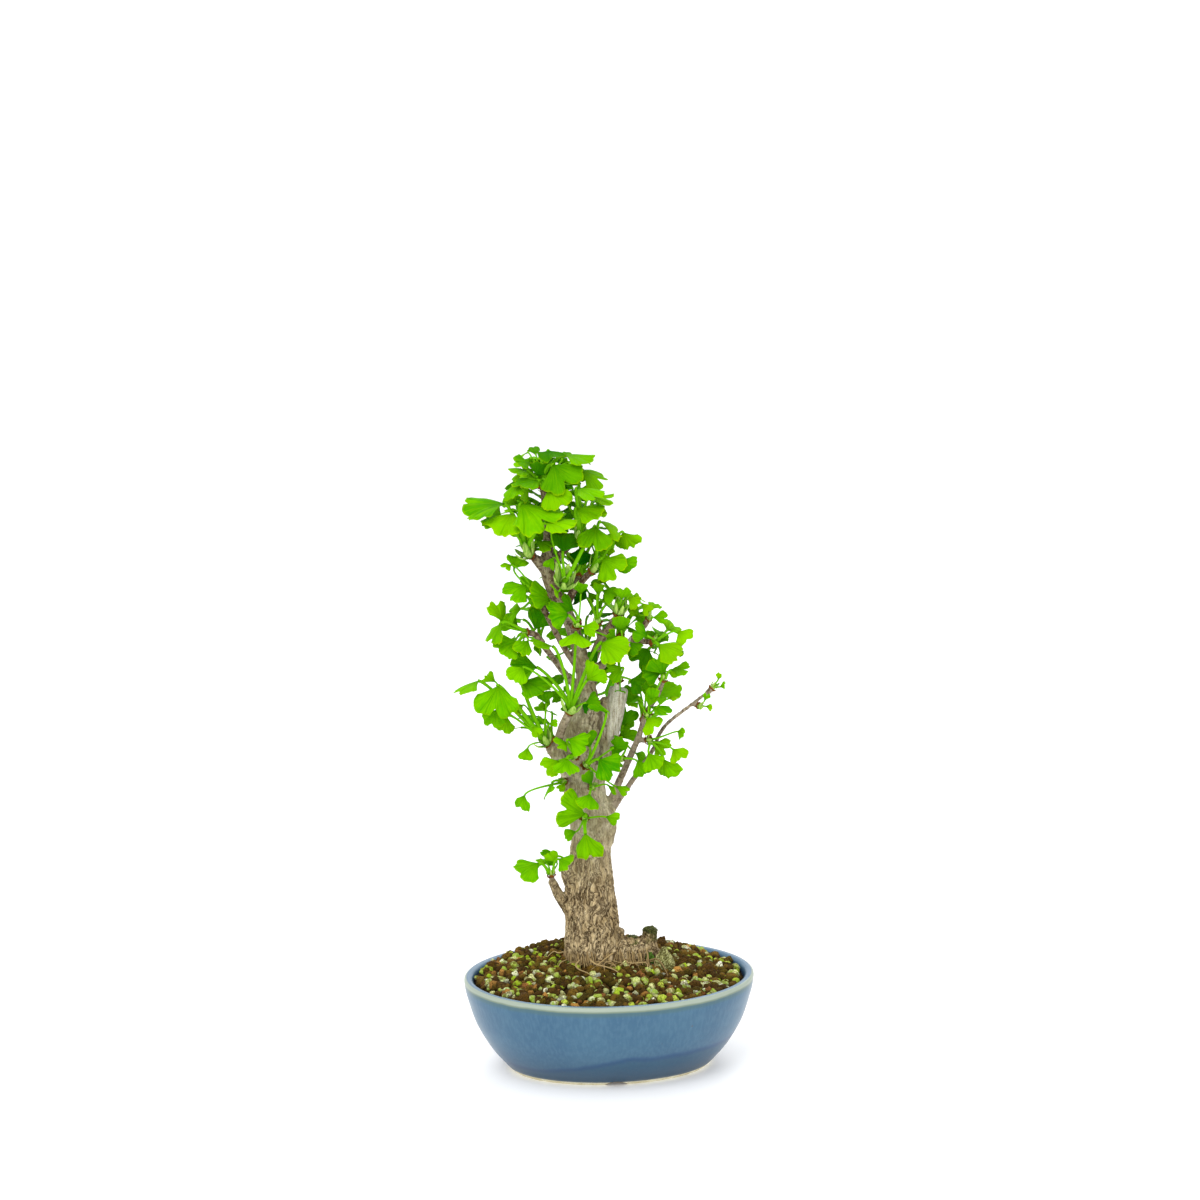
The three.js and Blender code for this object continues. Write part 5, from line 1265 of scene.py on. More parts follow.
def stalkAt(leaf, share):
    # a cubic Bezier curve that leaves along the spur and arrives along the blade
    base = leaf["base"] + leaf["shift"]
    arriving = base - leaf["forward"] * reachOf(leafShape["arriving"], leaf["length"])
    s = np.asarray(share, float)[:, None]
    return ((1 - s) ** 3 * leaf["start"] + 3 * (1 - s) ** 2 * s * leaf["leaving"]
            + 3 * (1 - s) * s ** 2 * arriving + s ** 3 * base)


def beadsOf(leaf):
    # places of the balls, and how far each follows when its leaf is moved: fully on the blade, and along
    # the stalk by the smoothed share 3s^2 - 2s^3
    shares, turns = [], []
    rows = math.ceil(leaf["radius"] / clearance["bead"])
    for row in range(1, rows + 1):
        count = math.ceil(2 * leaf["spread"] * leaf["radius"] * row / rows / clearance["bead"])
        shares += [row / rows] * (count + 1)
        turns += [2 * step / count - 1 for step in range(count + 1)]
    blade = bladePoint(leaf, np.array(shares), np.array(turns)) + leaf["base"]
    count = math.ceil(leaf["length"] / clearance["bead"])
    share = np.arange(1, count) / count
    stalk = stalkAt(leaf, share).reshape(-1, 3)
    follow = np.concatenate([np.ones(len(blade)), share * share * (3 - 2 * share)])
    return np.vstack([blade, stalk]), follow


def rearRows(spray, draw):
    # leaves open round the spur's line by the golden angle, the later ones leaning out further
    rows = []
    for k in range(spray["count"]):
        turn = golden * k + draw()
        lean = math.radians(between(umbrella["lean"], (k + 0.5) / spray["count"]))
        heading = spray["axis"] * math.cos(lean) + outwards(spray, turn) * math.sin(lean)
        heading = unit(heading + [0, 0, umbrella["rise"]])
        base = spray["seat"] + heading * between(umbrella["stalk"], draw())
        blade = unit([heading[0], heading[1], between(umbrella["pitch"], draw())])
        tip = base + blade * between(umbrella["blade"], draw())
        rows.append([*base, *tip, between(umbrella["facing"], draw()), 0])
    return rows


def standingBeads(leaf):
    # balls that stand for the blade and the stalk, moved as the leaf is
    return leaf["beads"] + leaf["follow"][:, None] * leaf["shift"]


def nearestBeads(one, other, same):
    # the line between the nearest balls of two leaves, its length and how far each follows its leaf.
    # Stalks of one spray may touch near the spur, where they follow little.
    used = [leaf["follow"] > (clearance["freeShare"] if same else -1) for leaf in (one, other)]
    p, q = (standingBeads(leaf)[keep] for leaf, keep in zip((one, other), used))
    if not len(p) or not len(q):
        return None
    apart = p[:, None] - q[None]
    square = (apart * apart).sum(-1)
    i, j = divmod(int(square.argmin()), len(q))
    return (apart[i, j], math.sqrt(square[i, j]), one["follow"][used[0]][i],
            other["follow"][used[1]][j])


def leaveWood(leaf, posts, owners):
    # a leaf that stands too deep in a ball of the wood moves out by what is lacking
    beads = standingBeads(leaf)
    held = (leaf["follow"] < 1) & (np.linalg.norm(beads - leaf["seat"], axis=1) < clearance["free"])
    near = np.linalg.norm(posts[:, :3] - leaf["base"] - leaf["shift"], axis=1)
    kept = (owners != leaf["spray"]) & (near < leaf["reach"] + posts[:, 3] + clearance["farWood"])
    beads, follow = beads[~held], leaf["follow"][~held]
    if not len(beads) or not kept.any():
        return
    away = beads[:, None] - posts[None, kept, :3]
    distance = np.sqrt((away * away).sum(-1))
    lack = posts[None, kept, 3] + clearance["wood"] - distance
    i, j = divmod(int(lack.argmax()), lack.shape[1])
    if lack[i, j] > 0:
        leaf["shift"] = leaf["shift"] + away[i, j] * (lack[i, j] * follow[i] / distance[i, j])


def bendClear(leaves, posts, owners):
    # moves leaves off the wood, and pairs of leaves apart, a little in each round
    pairs = []
    for i, one in enumerate(leaves):
        for j in range(i + 1, len(leaves)):
            apart = np.linalg.norm(one["base"] - leaves[j]["base"])
            near = one["reach"] + leaves[j]["reach"] + clearance["otherSpray"]
            if apart < near + clearance["farPair"]:
                pairs.append((i, j))
    for _ in range(clearance["rounds"]):
        for leaf in leaves:
            leaveWood(leaf, posts, owners)
        for i, j in pairs:
            one, other = leaves[i], leaves[j]
            gap = one["base"] + one["shift"] - other["base"] - other["shift"]
            if gap @ gap > (one["reach"] + other["reach"] + clearance["otherSpray"]) ** 2:
                continue
            same = one["spray"] == other["spray"]
            least = clearance["sameSpray" if same else "otherSpray"]
            found = nearestBeads(one, other, same)
            if not found or found[1] >= least:
                continue
            away, distance, followOne, followOther = found
            push = away * ((least - distance) / 2 / distance)
            one["shift"] = one["shift"] + push * followOne
            other["shift"] = other["shift"] - push * followOther


def growLeaves():
    leaves = []
    for spray in placed:
        draw = stream(100 + spray["order"])
        rows = rearRows(spray, draw) if spray["rear"] else spray["leaves"]
        leaves += [leafFrom(row, spray, 1 if spray["rear"] else -1, draw) for row in rows]
    woodPosts = np.vstack([postsAlong(line) for line in [*limbs.values(), *roots.values()]])
    spurs = [postsAlong(spurLine(spray)) for spray in placed]
    budRadius = spur["radius"] + spur["budSpace"]
    buds = np.array([[*(spray["seat"] + spray["axis"]), budRadius] for spray in placed])
    posts = np.vstack([woodPosts, *spurs, buds])
    owners = np.concatenate([np.full(len(woodPosts), -1),
                             *[np.full(len(rows), k) for k, rows in enumerate(spurs)],
                             np.arange(len(placed))])
    bendClear(leaves, posts, owners)
    return leaves, posts


leaves, posts = growLeaves()
print(len(leaves), "leaves are bent clear of each other")

# Small leaves fill the sprays in among the ones above. zones says how many of them there are to each
# leaf of a spray that sits above a height, and high from which height they are how much larger. The eye
# values are the height, distance and turn of the front view that crownEdge is seen in.
filling = {"zones": ((338, 3.4), (300, 1.5), (240, 0.7), (0, 0.25)), "high": (300, 1.2), "tries": 60,
           "lean": (5, 95), "rise": 0.2, "pitch": (-0.8, 0.5), "stalk": (6, 34), "blade": (7, 14),
           "facing": (0, 62), "roll": 25, "margin": 2, "crown": 1.04, "free": 0.35, "cover": 3,
           "clear": 1.7, "woodClear": 1.3, "far": 3, "eyeHeight": 657, "eyeAway": 1910, "eyeTurn": 0.075,
           "bare": ("leaning_tip", "leaning_node", "stub_tip", "trunk_left", "trunk_high", "rear_low")}
# how far the crown reaches, seen from the front: height, left and right
crownEdge = np.array([
    [436, -52, -38], [426, -60, -8], [418, -59, -9], [410, -62, 5], [402, -68, 4], [395, -76, -1],
    [386, -78, 3], [378, -66, 14], [369, -55, 16], [361, -44, 10], [353, -41, 12], [345, -38, 14],
    [337, -54, 8], [329, -56, 26], [321, -58, 34], [313, -70, 36], [304, -72, 56], [296, -64, 55],
    [287, -66, 54], [272, -68, 40], [255, -50, 38], [238, -44, 32], [221, -42, 48], [200, -34, 20],
    [150, -30, 4]], float)[::-1]


def crownShare(points):
    # 0 on the crown's middle line and 1 at its edge, and so on outwards. The front view looks down a
    # little and from the left, so what lies further back stands higher and to the left in it.
    seen = points[:, 2] + points[:, 1] * (filling["eyeHeight"] - points[:, 2]) / filling["eyeAway"]
    left, right = (np.interp(seen, crownEdge[:, 0], crownEdge[:, side]) for side in (1, 2))
    across = points[:, 0] - filling["eyeTurn"] * points[:, 1]
    return np.abs(across - (left + right) / 2) * 2 / (right - left)


def crownDepth(leaf):
    # 0 for a leaf at the outside of the crown, up to 1 for one at its heart, which gets the most painted
    # shade
    middle = leaf["base"] + leaf["forward"] * leaf["radius"] * 0.6
    across = min(crownShare(middle[None])[0], 1)
    return float(np.clip(1.25 * (1 - math.hypot(across, (middle[1] - 3) / 30)), 0, 1))


def smallLeaf(spray, middleWay, draw):
    # a leaf whose heading leans away from the middle one of its spray's leaves
    turn = 2 * math.pi * draw()
    lean = math.radians(between(filling["lean"], draw()))
    heading = middleWay * math.cos(lean) + outwards(spray, turn) * math.sin(lean)
    heading = unit(heading + [0, 0, filling["rise"]])
    base = spray["seat"] + heading * between(filling["stalk"], draw())
    along = unit([heading[0], heading[1], between(filling["pitch"], draw())])
    height, larger = filling["high"]
    tip = base + along * between(filling["blade"], draw()) * (larger if spray["seat"][2] > height else 1)
    roll = filling["roll"] * (2 * draw() - 1)
    row = [*base, *tip, between(filling["facing"], draw()), roll]
    return leafFrom(row, spray, 1 if spray["rear"] else -1, draw)


def findsRoom(leaf, front, standing):
    # whether a small leaf lies in the crown, not in front of the leaves above, and clear of the wood and
    # of every leaf that stands
    beads = leaf["beads"]
    low, high = (np.array(corner) * 1000 for corner in cadBox)
    if (beads < low + filling["margin"]).any() or (beads > high - filling["margin"]).any():
        return False
    if (crownShare(beads) > filling["crown"]).any():
        return False
    free = beads[leaf["follow"] > filling["free"]]
    apart = np.hypot(free[:, None, 0] - front[None, :, 0], free[:, None, 2] - front[None, :, 2])
    if ((apart < filling["cover"]) & (free[:, None, 1] < front[None, :, 1])).any():
        return False
    wall = np.linalg.norm(free[:, None] - posts[None, :, :3], axis=-1) - posts[None, :, 3]
    if wall.min() < filling["woodClear"]:
        return False
    for place, reach, others in standing:
        if np.linalg.norm(place - leaf["base"]) <= reach + leaf["reach"] + filling["far"]:
            gap = free[:, None] - others[None]
            if (gap * gap).sum(-1).min() < filling["clear"] ** 2:
                return False
    return True


def fillLeaves():
    standing = [(leaf["base"] + leaf["shift"], leaf["reach"], standingBeads(leaf)) for leaf in leaves]
    front = np.vstack([standingBeads(leaf) for leaf in leaves if not placed[leaf["spray"]]["rear"]])
    added = []
    for spray in placed:
        draw = stream(900 + spray["order"])
        own = [leaf for leaf in leaves if leaf["spray"] == spray["order"]]
        share = next(share for height, share in filling["zones"] if spray["seat"][2] >= height)
        wanted = 0 if spray["name"] in filling["bare"] else round(share * len(own))
        middleWay = unit(np.mean([unit(leaf["base"] - spray["seat"]) for leaf in own], axis=0))
        for _ in range(filling["tries"] * wanted):
            leaf = smallLeaf(spray, middleWay, draw)
            if findsRoom(leaf, front, standing):
                standing.append((leaf["base"], leaf["reach"], leaf["beads"]))
                added.append(leaf)
                wanted -= 1
            if not wanted:
                break
    return added


fillers = fillLeaves()
print(len(fillers), "small leaves fill the sprays in")

# The depths of teeth, waves, slits, flutes and ruffles, and their pitch along the margin. columns is the
# number of columns for each millimetre of radius, and columnSpan the fewest and the most.
blade = {"rows": 7, "smallRows": 5, "small": 11, "columns": 2.6, "columnSpan": (20, 54),
         "thickness": 0.42, "edge": 0.14, "footSwell": 0.7, "tooth": 0.75, "toothPitch": 1.7, "wave": 0.9,
         "wavePitch": 7, "inset": 0.3, "slit": 0.05, "slits": 3, "slitWidth": 0.055, "slitLeast": 8,
         "round": 0.16, "flute": 0.26, "flutePitch": 1.9, "ruffle": 0.1, "rufflePitch": 8,
         "stalkWide": 1.65, "stalkThin": 0.86, "stalkStep": 2.2, "stalkSides": 7}


def keptInside(points):
    # moves a leaf in by what sticks out of the box of the solids
    low, high = (np.array(corner) * 1000 for corner in cadBox)
    return points + np.maximum(low - points, 0).max(axis=0) - np.maximum(points - high, 0).max(axis=0)


def bladeSurface(leaf, number):
    # two sheets a little apart along the middle of the blade, whose margin is cut into small uneven
    # teeth and a few slits, fluted along the veins and ruffled towards the margin
    radius, draw = leaf["radius"], stream(7000 + number)
    columns = int(np.clip(round(radius * blade["columns"]), *blade["columnSpan"]))
    rows = blade["smallRows" if radius < blade["small"] else "rows"]
    turn = np.linspace(-1, 1, columns + 1)[None]
    share = np.linspace(0, 1, rows + 1)[:, None] ** 0.9
    middle = bladePoint(leaf, share * np.ones_like(turn), turn * np.ones_like(share))

    def alongMargin(pitch, seed):
        arc = turn[0] * leaf["spread"] * radius / pitch
        return layeredNoise(np.stack([arc + number * 7.7, 0 * arc + number, 0 * arc], -1), 2, seed)[None]

    inset = (blade["tooth"] * alongMargin(blade["toothPitch"], 71)
             + blade["wave"] * alongMargin(blade["wavePitch"], 73) - blade["inset"]) / radius
    slits = sum(draw() * np.exp(-((turn - 1.5 * draw() + 0.75) / blade["slitWidth"]) ** 2)
                for _ in range(blade["slits"]))
    inset = inset - blade["slit"] * slits * (radius > blade["slitLeast"]) - blade["round"] * turn ** 8
    middle *= (1 + inset * share ** 4)[..., None]
    flutes = blade["flute"] * alongMargin(blade["flutePitch"], 75) * share ** 1.2
    ruffle = blade["ruffle"] * radius * alongMargin(blade["rufflePitch"], 77) * share ** 3
    middle += (flutes + ruffle)[..., None] * leaf["normal"]
    thick = blade["edge"] + (blade["thickness"] - blade["edge"]) * (1 - share ** 3) * (1 - turn ** 8)
    half = 0.5 * thick * (1 + blade["footSwell"] * np.exp(-(share / 0.14) ** 2))
    top = middle + half[..., None] * leaf["normal"]
    under = middle - half[..., None] * leaf["normal"]
    rings = np.concatenate([under, top[:, ::-1]], axis=1)
    sides = rings.shape[1]
    points = keptInside(rings.reshape(-1, 3) + leaf["base"] + leaf["shift"])
    # the first and the last ring are closed by squares between their upper and lower halves
    first = np.arange(columns)
    mate = sides - 1 - first
    tipFaces = np.stack([first, first + 1, mate - 1, mate], -1) + rows * sides
    rootFaces = np.stack([first + 1, first, mate, mate - 1], -1)
    turns = np.concatenate([turn[0], turn[0, ::-1]])[None] * np.ones_like(share)
    lower = np.repeat([[1.0, 0.0]], columns + 1, axis=1) * np.ones_like(share)
    fan = np.stack([turns, share * np.ones_like(turns), lower], -1).reshape(-1, 3)
    return points, [ringFaces(rows + 1, sides), tipFaces, rootFaces], fan


def leafTones(leaf, number):
    # how light and how yellow a leaf is, and how deep it lies in the crown. Both are partly drawn at
    # random, and yellow is more for small young leaves; both fall with painted shade the deeper the leaf
    # lies in the crown and rise with painted light the higher it stands
    draw = stream(5000 + number)
    youth = ramp(leaf["radius"], 13, 5)
    depth = crownDepth(leaf)
    high = ramp(leaf["base"][2], 190, 350)
    light = draw() * (1 - 0.5 * depth) * (0.5 + 0.5 * high)
    return [light, (draw() * 0.6 + 0.4 * youth) * (1 - depth) * (0.7 + 0.3 * high), depth]


def stalkSurface(leaf):
    # a tube along the stalk that is wide at its foot and widens a little into the blade
    share = np.linspace(0, 1, max(6, int(leaf["length"] / blade["stalkStep"])))
    size = np.clip(leaf["radius"] / 17, 0.55, 1.2)
    swell = (1 - share) ** 1.5 + 0.5 * share ** 6
    radii = (blade["stalkThin"] + (blade["stalkWide"] - blade["stalkThin"]) * swell) * size
    points, faces = closedTube(stalkAt(leaf, share), radii, leaf["side"], blade["stalkSides"])
    return keptInside(points), faces


def scaleSurface(spray, turn, length, width, stand, lean, rise, foot=1.2, rings=8, sides=8):
    # a bud scale is a pointed leaf-like blade, hollow towards the bud. It leaves along the spur, leaning
    # out, and rise turns its heading up towards the sky along its length.
    out = outwards(spray, turn)
    share = np.linspace(0, 1, rings)[:, None]
    sky = np.array([0.0, 0.0, 1.0])
    heading = unit(spray["axis"] * (1 - 0.9 * rise * share) + out * lean + sky * 1.5 * rise * share)
    path = np.cumsum(heading, axis=0) - heading[0]
    middle = spray["seat"] + foot * spray["axis"] + stand * out + path * length / (rings - 1)
    face = unit(out - (heading @ out)[:, None] * heading)
    across = np.cross(heading, face)
    # half width rises quickly from the foot, is widest in the middle and ends in a blunt tip
    wide = width * (np.sin(np.pi * (0.16 + 0.84 * share)) ** 0.55 + 0.03)
    angle = aroundTurn(sides)
    a, b = np.cos(angle)[None], np.sin(angle)[None]
    over = 0.09 * length * np.sin(np.pi * share) - 0.32 * wide * a ** 2 + 0.38 * (1 - 0.6 * share) * b
    points = (middle[:, None] + over[..., None] * face[:, None] + (wide * a)[..., None] * across[:, None])
    middles = points[[0, -1]].mean(axis=1)
    grown = np.concatenate([np.repeat(share[:, 0], sides), [0, 1]])
    return keptInside(np.vstack([points.reshape(-1, 3), middles])), closedFaces(rings, sides, True), grown


# A green bud sits on each spur among green scales, long ones where the spray's row says so, and a
# ragged collar of old brown ones. Scales are as wide as a share of their length.
bud = {"length": 4.0, "width": 1.95, "start": 0.35, "sides": 12, "least": 6.5,
       "long": {"size": (1.05, 1.6), "width": 0.19, "stand": 2.4, "lean": (0.15, 0.75),
                "rise": (0.4, 0.9)},
       "short": {"size": (0.5, 0.85), "width": 0.24, "stand": 1.9, "lean": (0.1, 0.4), "rise": (0, 0.8)},
       "husks": {"count": 11, "size": (1.8, 3.2), "width": (0.8, 1.4), "stand": 2.1, "lean": (0.35, 1.1),
                 "foot": (-0.9, 0.3), "few": 4, "fewSize": 0.62}}


def budSurface(spray):
    # a tube round the spur's line whose radius falls off to a blunt tip
    share = np.linspace(0, 1, 9)
    line = spray["seat"] + (bud["start"] + bud["length"] * share)[:, None] * spray["axis"]
    taper = np.sqrt(np.clip(1 - (share * 0.985) ** 2.4, 0.01, 1))
    radii = bud["width"] * taper * (0.88 + 0.12 * np.sin(3 * share))
    return closedTube(line, radii, spray["right"], bud["sides"])


def addScales(heap, spray, few):
    draw = stream(300 + spray["order"])
    count, length = spray.get("scales", (0, 0))

    def addScale(surface, kind):
        points, faces, grown = surface
        fan = np.column_stack([0 * grown, grown, 0 * grown])
        heap.add(points, faces, fan=fan, tones=[draw(), 0.5, 0.5], kind=kind)

    def addGreen(kind, turn, size):
        addScale(scaleSurface(spray, turn, size, kind["width"] * size, kind["stand"],
                              between(kind["lean"], draw()), between(kind["rise"], draw())), [0, 1, 0])

    for k in range(2 * count):
        addGreen(bud["long"], math.pi * (k + 0.5) / count, length * between(bud["long"]["size"], draw()))
    for _ in range(3 + 2 * (count > 0)):
        size = between(bud["short"]["size"], draw()) * max(length, bud["least"])
        addGreen(bud["short"], 2 * math.pi * draw(), size)
    husks = bud["husks"]
    share = husks["fewSize"] if few else 1
    for k in range(husks["count"]):
        turn = 2 * math.pi * (k + 0.7 * draw()) / husks["count"]
        size, width = (share * between(husks[key], draw()) for key in ("size", "width"))
        lean, foot = (between(husks[key], draw()) for key in ("lean", "foot"))
        addScale(scaleSurface(spray, turn, size, width, husks["stand"] * (0.7 + 0.3 * share), lean, 0,
                              foot, 5, 6), [0, 0, 1])


def makeSpray(spray, own, material, counter):
    # fan holds the place across and along a blade and whether it is the lower side, and kind whether a
    # point is on a stalk, a green scale or a brown one
    heap = Heap()
    for leaf in own:
        number = next(counter)
        tones = leafTones(leaf, number)
        points, faces, fan = bladeSurface(leaf, number)
        heap.add(points, faces, fan=fan, tones=tones, kind=[0, 0, 0])
        heap.add(*stalkSurface(leaf), fan=[0, 0.5, 0.5], tones=tones, kind=[1, 0, 0])
    heap.add(*budSurface(spray), fan=[0, 0.5, 0], tones=[0.5, 0.5, 0.5], kind=[0, 1, 0])
    addScales(heap, spray, len(own) < bud["husks"]["few"])
    name = "spray_" + spray["name"]
    addPiece(name + "_leaves", heap, material, "leaf", name)


leafPaints = palette(
    bright=(136, 212, 0), mid=(66, 162, 0), deep=(0, 96, 0), yellow=(196, 224, 0), under=(80, 170, 0),
    stalk=(92, 180, 0), stalkPale=(138, 200, 24), scale=(182, 214, 104), scaleGreen=(74, 152, 6),
    husk=(112, 52, 18), huskPale=(160, 100, 46))
# the share and the colour of the light that shines through a leaf
glow = {"share": 0.22, "tone": (0.13, 0.42, 0.0, 1)}


def addGlow(shade, shader):
    through = shade.node("ShaderNodeBsdfTranslucent", None, {"Color": glow["tone"]})
    both = shade.node("ShaderNodeMixShader", None, {0: glow["share"]})
    tree = shade.tree
    tree.links.new(shader.outputs[0], both.socket.node.inputs[1])
    tree.links.new(through.socket, both.socket.node.inputs[2])
    tree.links.new(both.socket, tree.nodes["Material Output"].inputs["Surface"])


def leafMaterial():
    material, shade, shader = newMaterial("ginkgo_leaf", {"Specular IOR Level": 0.015})
    place = objectPlace(shade)
    turn, share, lower = parts(ownAttribute(shade, "fan"))
    light, yellow, depth = parts(ownAttribute(shade, "tones"))
    stalk, scale, brown = parts(ownAttribute(shade, "kind"))
    cloud = grainNoise(place, 110, 3)
    fine = grainNoise(place, 700, 3)
    # streaks run out along the veins: a noise of the turn across the blade, long drawn from its foot out
    wideFan, thinFan = (
        shade.node("ShaderNodeCombineXYZ", None, {0: turn * a, 1: share * b, 2: light * 40})
        for a, b in ((9, 0.8), (42, 1.5)))
    streak = grainNoise(wideFan, 1.0, 3, 0.7)
    thin = grainNoise(thinFan, 1.0, 2, 0.6)
    margin = steps(share + (fine - 0.5) * 0.06, 0.93, 1.0)
    # painted shade darkens the leaves deep in the crown and holds back their yellow, veins and underside
    # tone
    green = layered(leafPaints["mid"], leafPaints,
                    ("bright", light),
                    ("yellow", yellow * yellow * 0.85),
                    ("bright", steps(cloud + streak, 0.86, 1.2) * 0.5),
                    ("deep", depth * 0.9),
                    ("deep", (1 - steps(share, 0.0, 0.7)) * 0.4),
                    ("deep", (1 - steps(streak, 0.3, 0.5)) * 0.3),
                    ("yellow", steps(thin, 0.5, 0.72) * 0.26 * (1 - depth)),
                    ("yellow", margin * (0.2 + yellow * 0.6)),
                    ("under", lower * 0.45 * (1 - depth)))
    tone = blend(stalk, green, blend(fine, leafPaints["stalk"], leafPaints["stalkPale"]))
    ribs = steps(grainNoise(objectPlace(shade, (1, 1, 0.2)), 900, 3), 0.45, 0.62)
    husk = blend(ribs * 0.6 + (1 - steps(share, 0.0, 0.4)) * 0.3, leafPaints["scale"],
                 leafPaints["scaleGreen"])
    tone = blend(scale, tone, husk)
    tone = blend(brown, tone, blend(fine, leafPaints["husk"], leafPaints["huskPale"]))
    height = thin * 0.9 + streak * 1.2 + fine * 0.25 + cloud * 0.5
    feed(shade, shader, {"Base Color": tone, "Roughness": 0.5 + fine * 0.14 + lower * 0.1,
                         "Normal": relief(shade, height, 0.0003, 0.6)})
    addGlow(shade, shader)
    return material


def makeSprays():
    material = leafMaterial()
    counter = iter(range(10000))
    for spray in placed:
        own = [leaf for leaf in leaves + fillers if leaf["spray"] == spray["order"]]
        makeSpray(spray, own, material, counter)


makeSprays()
print("the leaves are out")

# cuts are flat sides cut off a ball: each has a direction and its distance along it. slim is how much of
# its size the stone keeps along X, Y and Z.
stone = {"place": (37.5, -9, 74), "half": (8.8, 6.6, 12.2), "slim": (0.86, 0.92, 0.96), "taper": 0.55,
         "detail": 30, "rough": 0.035, "fine": 0.2,
         "cuts": [[-0.9, -0.5, 0.42, 0.8], [0.95, -0.35, 0.5, 0.82], [0.1, -1, 0.3, 0.84],
                  [0.5, 0.9, 0.45, 0.84], [-0.6, 0.85, 0.3, 0.86], [0.35, -0.85, -0.3, 0.9],
                  [-0.2, -0.4, 0.95, 0.93], [0.5, 0.1, 0.9, 0.9], [-1, 0.2, -0.2, 0.92]]}
stoneTones = palette(dark=(92, 92, 34), light=(168, 168, 100), dirt=(66, 54, 18), pale=(206, 206, 150))


def makeStone():
    # each direction reaches as far as the nearest flat side or the ball, with layered noise on it
    shape, faces = pebbleShape(stone["detail"])
    cuts = np.array(stone["cuts"])
    toward = np.maximum(shape @ unit(cuts[:, :3]).T, 0.05)
    reach = np.minimum((cuts[:, 3] / toward).min(axis=1), 1)
    points = shape * (reach + stone["rough"] * layeredNoise(shape * 2.2, 3, 61))[:, None]
    points[:, :2] *= 1 - stone["taper"] * np.maximum(points[:, 2:], 0)
    points = points * np.array(stone["half"]) * stone["slim"]
    points += stone["fine"] * layeredNoise(points / 0.9, 2, 63)[:, None] * shape
    heap = Heap()
    heap.add(points + stone["place"], [faces])
    material, shade, shader = newMaterial("mossy_stone", {"Roughness": 0.92})
    place = objectPlace(shade)
    patch = grainNoise(place, 180, 4, 0.65)
    fleck = grainNoise(place, 1100, 3)
    tone = layered(stoneTones["dark"], stoneTones,
                   ("light", steps(patch, 0.4, 0.6)),
                   ("dirt", steps(fleck, 0.44, 0.6) * 0.75),
                   ("pale", (1 - steps(fleck, 0.36, 0.46)) * 0.6))
    feed(shade, shader, {"Base Color": tone, "Normal": relief(shade, patch * 1.5 + fleck, 0.0006, 0.8)})
    addPiece("mossy_stone", heap, material, "rock", "stone")


def dressScreens():
    # the drain screens stay as the solids are, with a material of their own
    material, shade, shader = newMaterial("green_mesh", {"Specular IOR Level": 0.4})
    grime = grainNoise(objectPlace(shade), 300, 3)
    tone = blend(steps(grime, 0.4, 0.75), fromScreen(22, 48, 34), fromScreen(84, 76, 48))
    feed(shade, shader, {"Base Color": tone, "Roughness": 0.5 + grime * 0.3,
                         "Normal": relief(shade, grime, 0.0002, 0.4)})
    for name in ("drain_screen_left", "drain_screen_right"):
        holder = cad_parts[name]
        holder = holder if hasattr(holder, "data") else bpy.data.objects[name]
        holder.data.materials.clear()
        holder.data.materials.append(material)


# Mounds of moss: the middle, the half sizes and the number of leaflets of each. Those above oldFrom,
# on the wood, are old and dark.
moss = {"mounds": [((28.0, -4.0, 75.0), (2.9, 2.6, 4.4), 320), ((30, 12, 91.2), (5.0, 5.0, 2.4), 420),
                   ((17, 9, 88.2), (4.0, 3.0, 0.8), 60), ((-28, 2.0, 74.0), (2.2, 4.0, 1.0), 50)],
        "oldFrom": 85, "length": (0.6, 1.4), "width": (0.16, 0.3), "sway": 0.42, "rise": 0.3,
        "cushion": 0.94, "rough": 0.4, "detail": 14}
mossTones = palette(deep=(34, 70, 2), bright=(104, 146, 16), old=(48, 36, 14), oldPale=(112, 118, 50))


def mossLeaflets(rng, middle, half, count):
    # three-sided points that stand on the upper half of a mound and lean at random
    out = unit(rng.normal(size=(count, 3)))
    out[:, 2] = np.abs(out[:, 2])
    foot = np.array(middle) + out * half * (0.85 + 0.15 * rng.random((count, 1)))
    heading = unit(out + moss["sway"] * rng.normal(size=(count, 3)) + [0, 0, moss["rise"]])
    length = rng.uniform(*moss["length"], (count, 1))
    across = unit(np.cross(heading, rng.normal(size=(count, 3))))
    over = np.cross(heading, across)
    wide = rng.uniform(*moss["width"], (count, 1))
    corners = [foot + wide * across, foot - 0.5 * wide * across + 0.87 * wide * over,
               foot - 0.5 * wide * across - 0.87 * wide * over, foot + heading * length]
    at = np.arange(count)[:, None] * 4
    faces = np.vstack([at + [0, 1, 3], at + [1, 2, 3], at + [2, 0, 3], at + [0, 2, 1]])
    return np.stack(corners, axis=1).reshape(-1, 3), [faces]


def makeMoss():
    rng = np.random.default_rng(77)
    heap = Heap()
    shape, quads = pebbleShape(moss["detail"])
    for middle, half, count in moss["mounds"]:
        isOld = float(middle[2] > moss["oldFrom"])
        points, faces = mossLeaflets(rng, middle, half, count)
        sprig = np.column_stack([rng.random(count), np.full(count, isOld), np.zeros(count)])
        heap.add(points, faces, sprig=np.repeat(sprig, 4, axis=0))
        bumps = moss["cushion"] + moss["rough"] * layeredNoise(shape * 2.6, 2, 9)[:, None]
        heap.add(shape * half * bumps + middle, [quads], sprig=[0.2, isOld, 0])
    material, shade, shader = newMaterial("moss", {"Roughness": 0.9})
    tone, dark = parts(ownAttribute(shade, "sprig"))[:2]
    fleck = grainNoise(objectPlace(shade), 800, 3)
    green = blend(tone * 0.6 + fleck * 0.4, mossTones["deep"], mossTones["bright"])
    old = blend(steps(fleck + tone * 0.3, 0.5, 0.8), mossTones["old"], mossTones["oldPale"])
    green = blend(dark * 0.85, green, old)
    feed(shade, shader, {"Base Color": green, "Normal": relief(shade, fleck, 0.0006, 0.8)})
    addPiece("moss", heap, material, "soil")


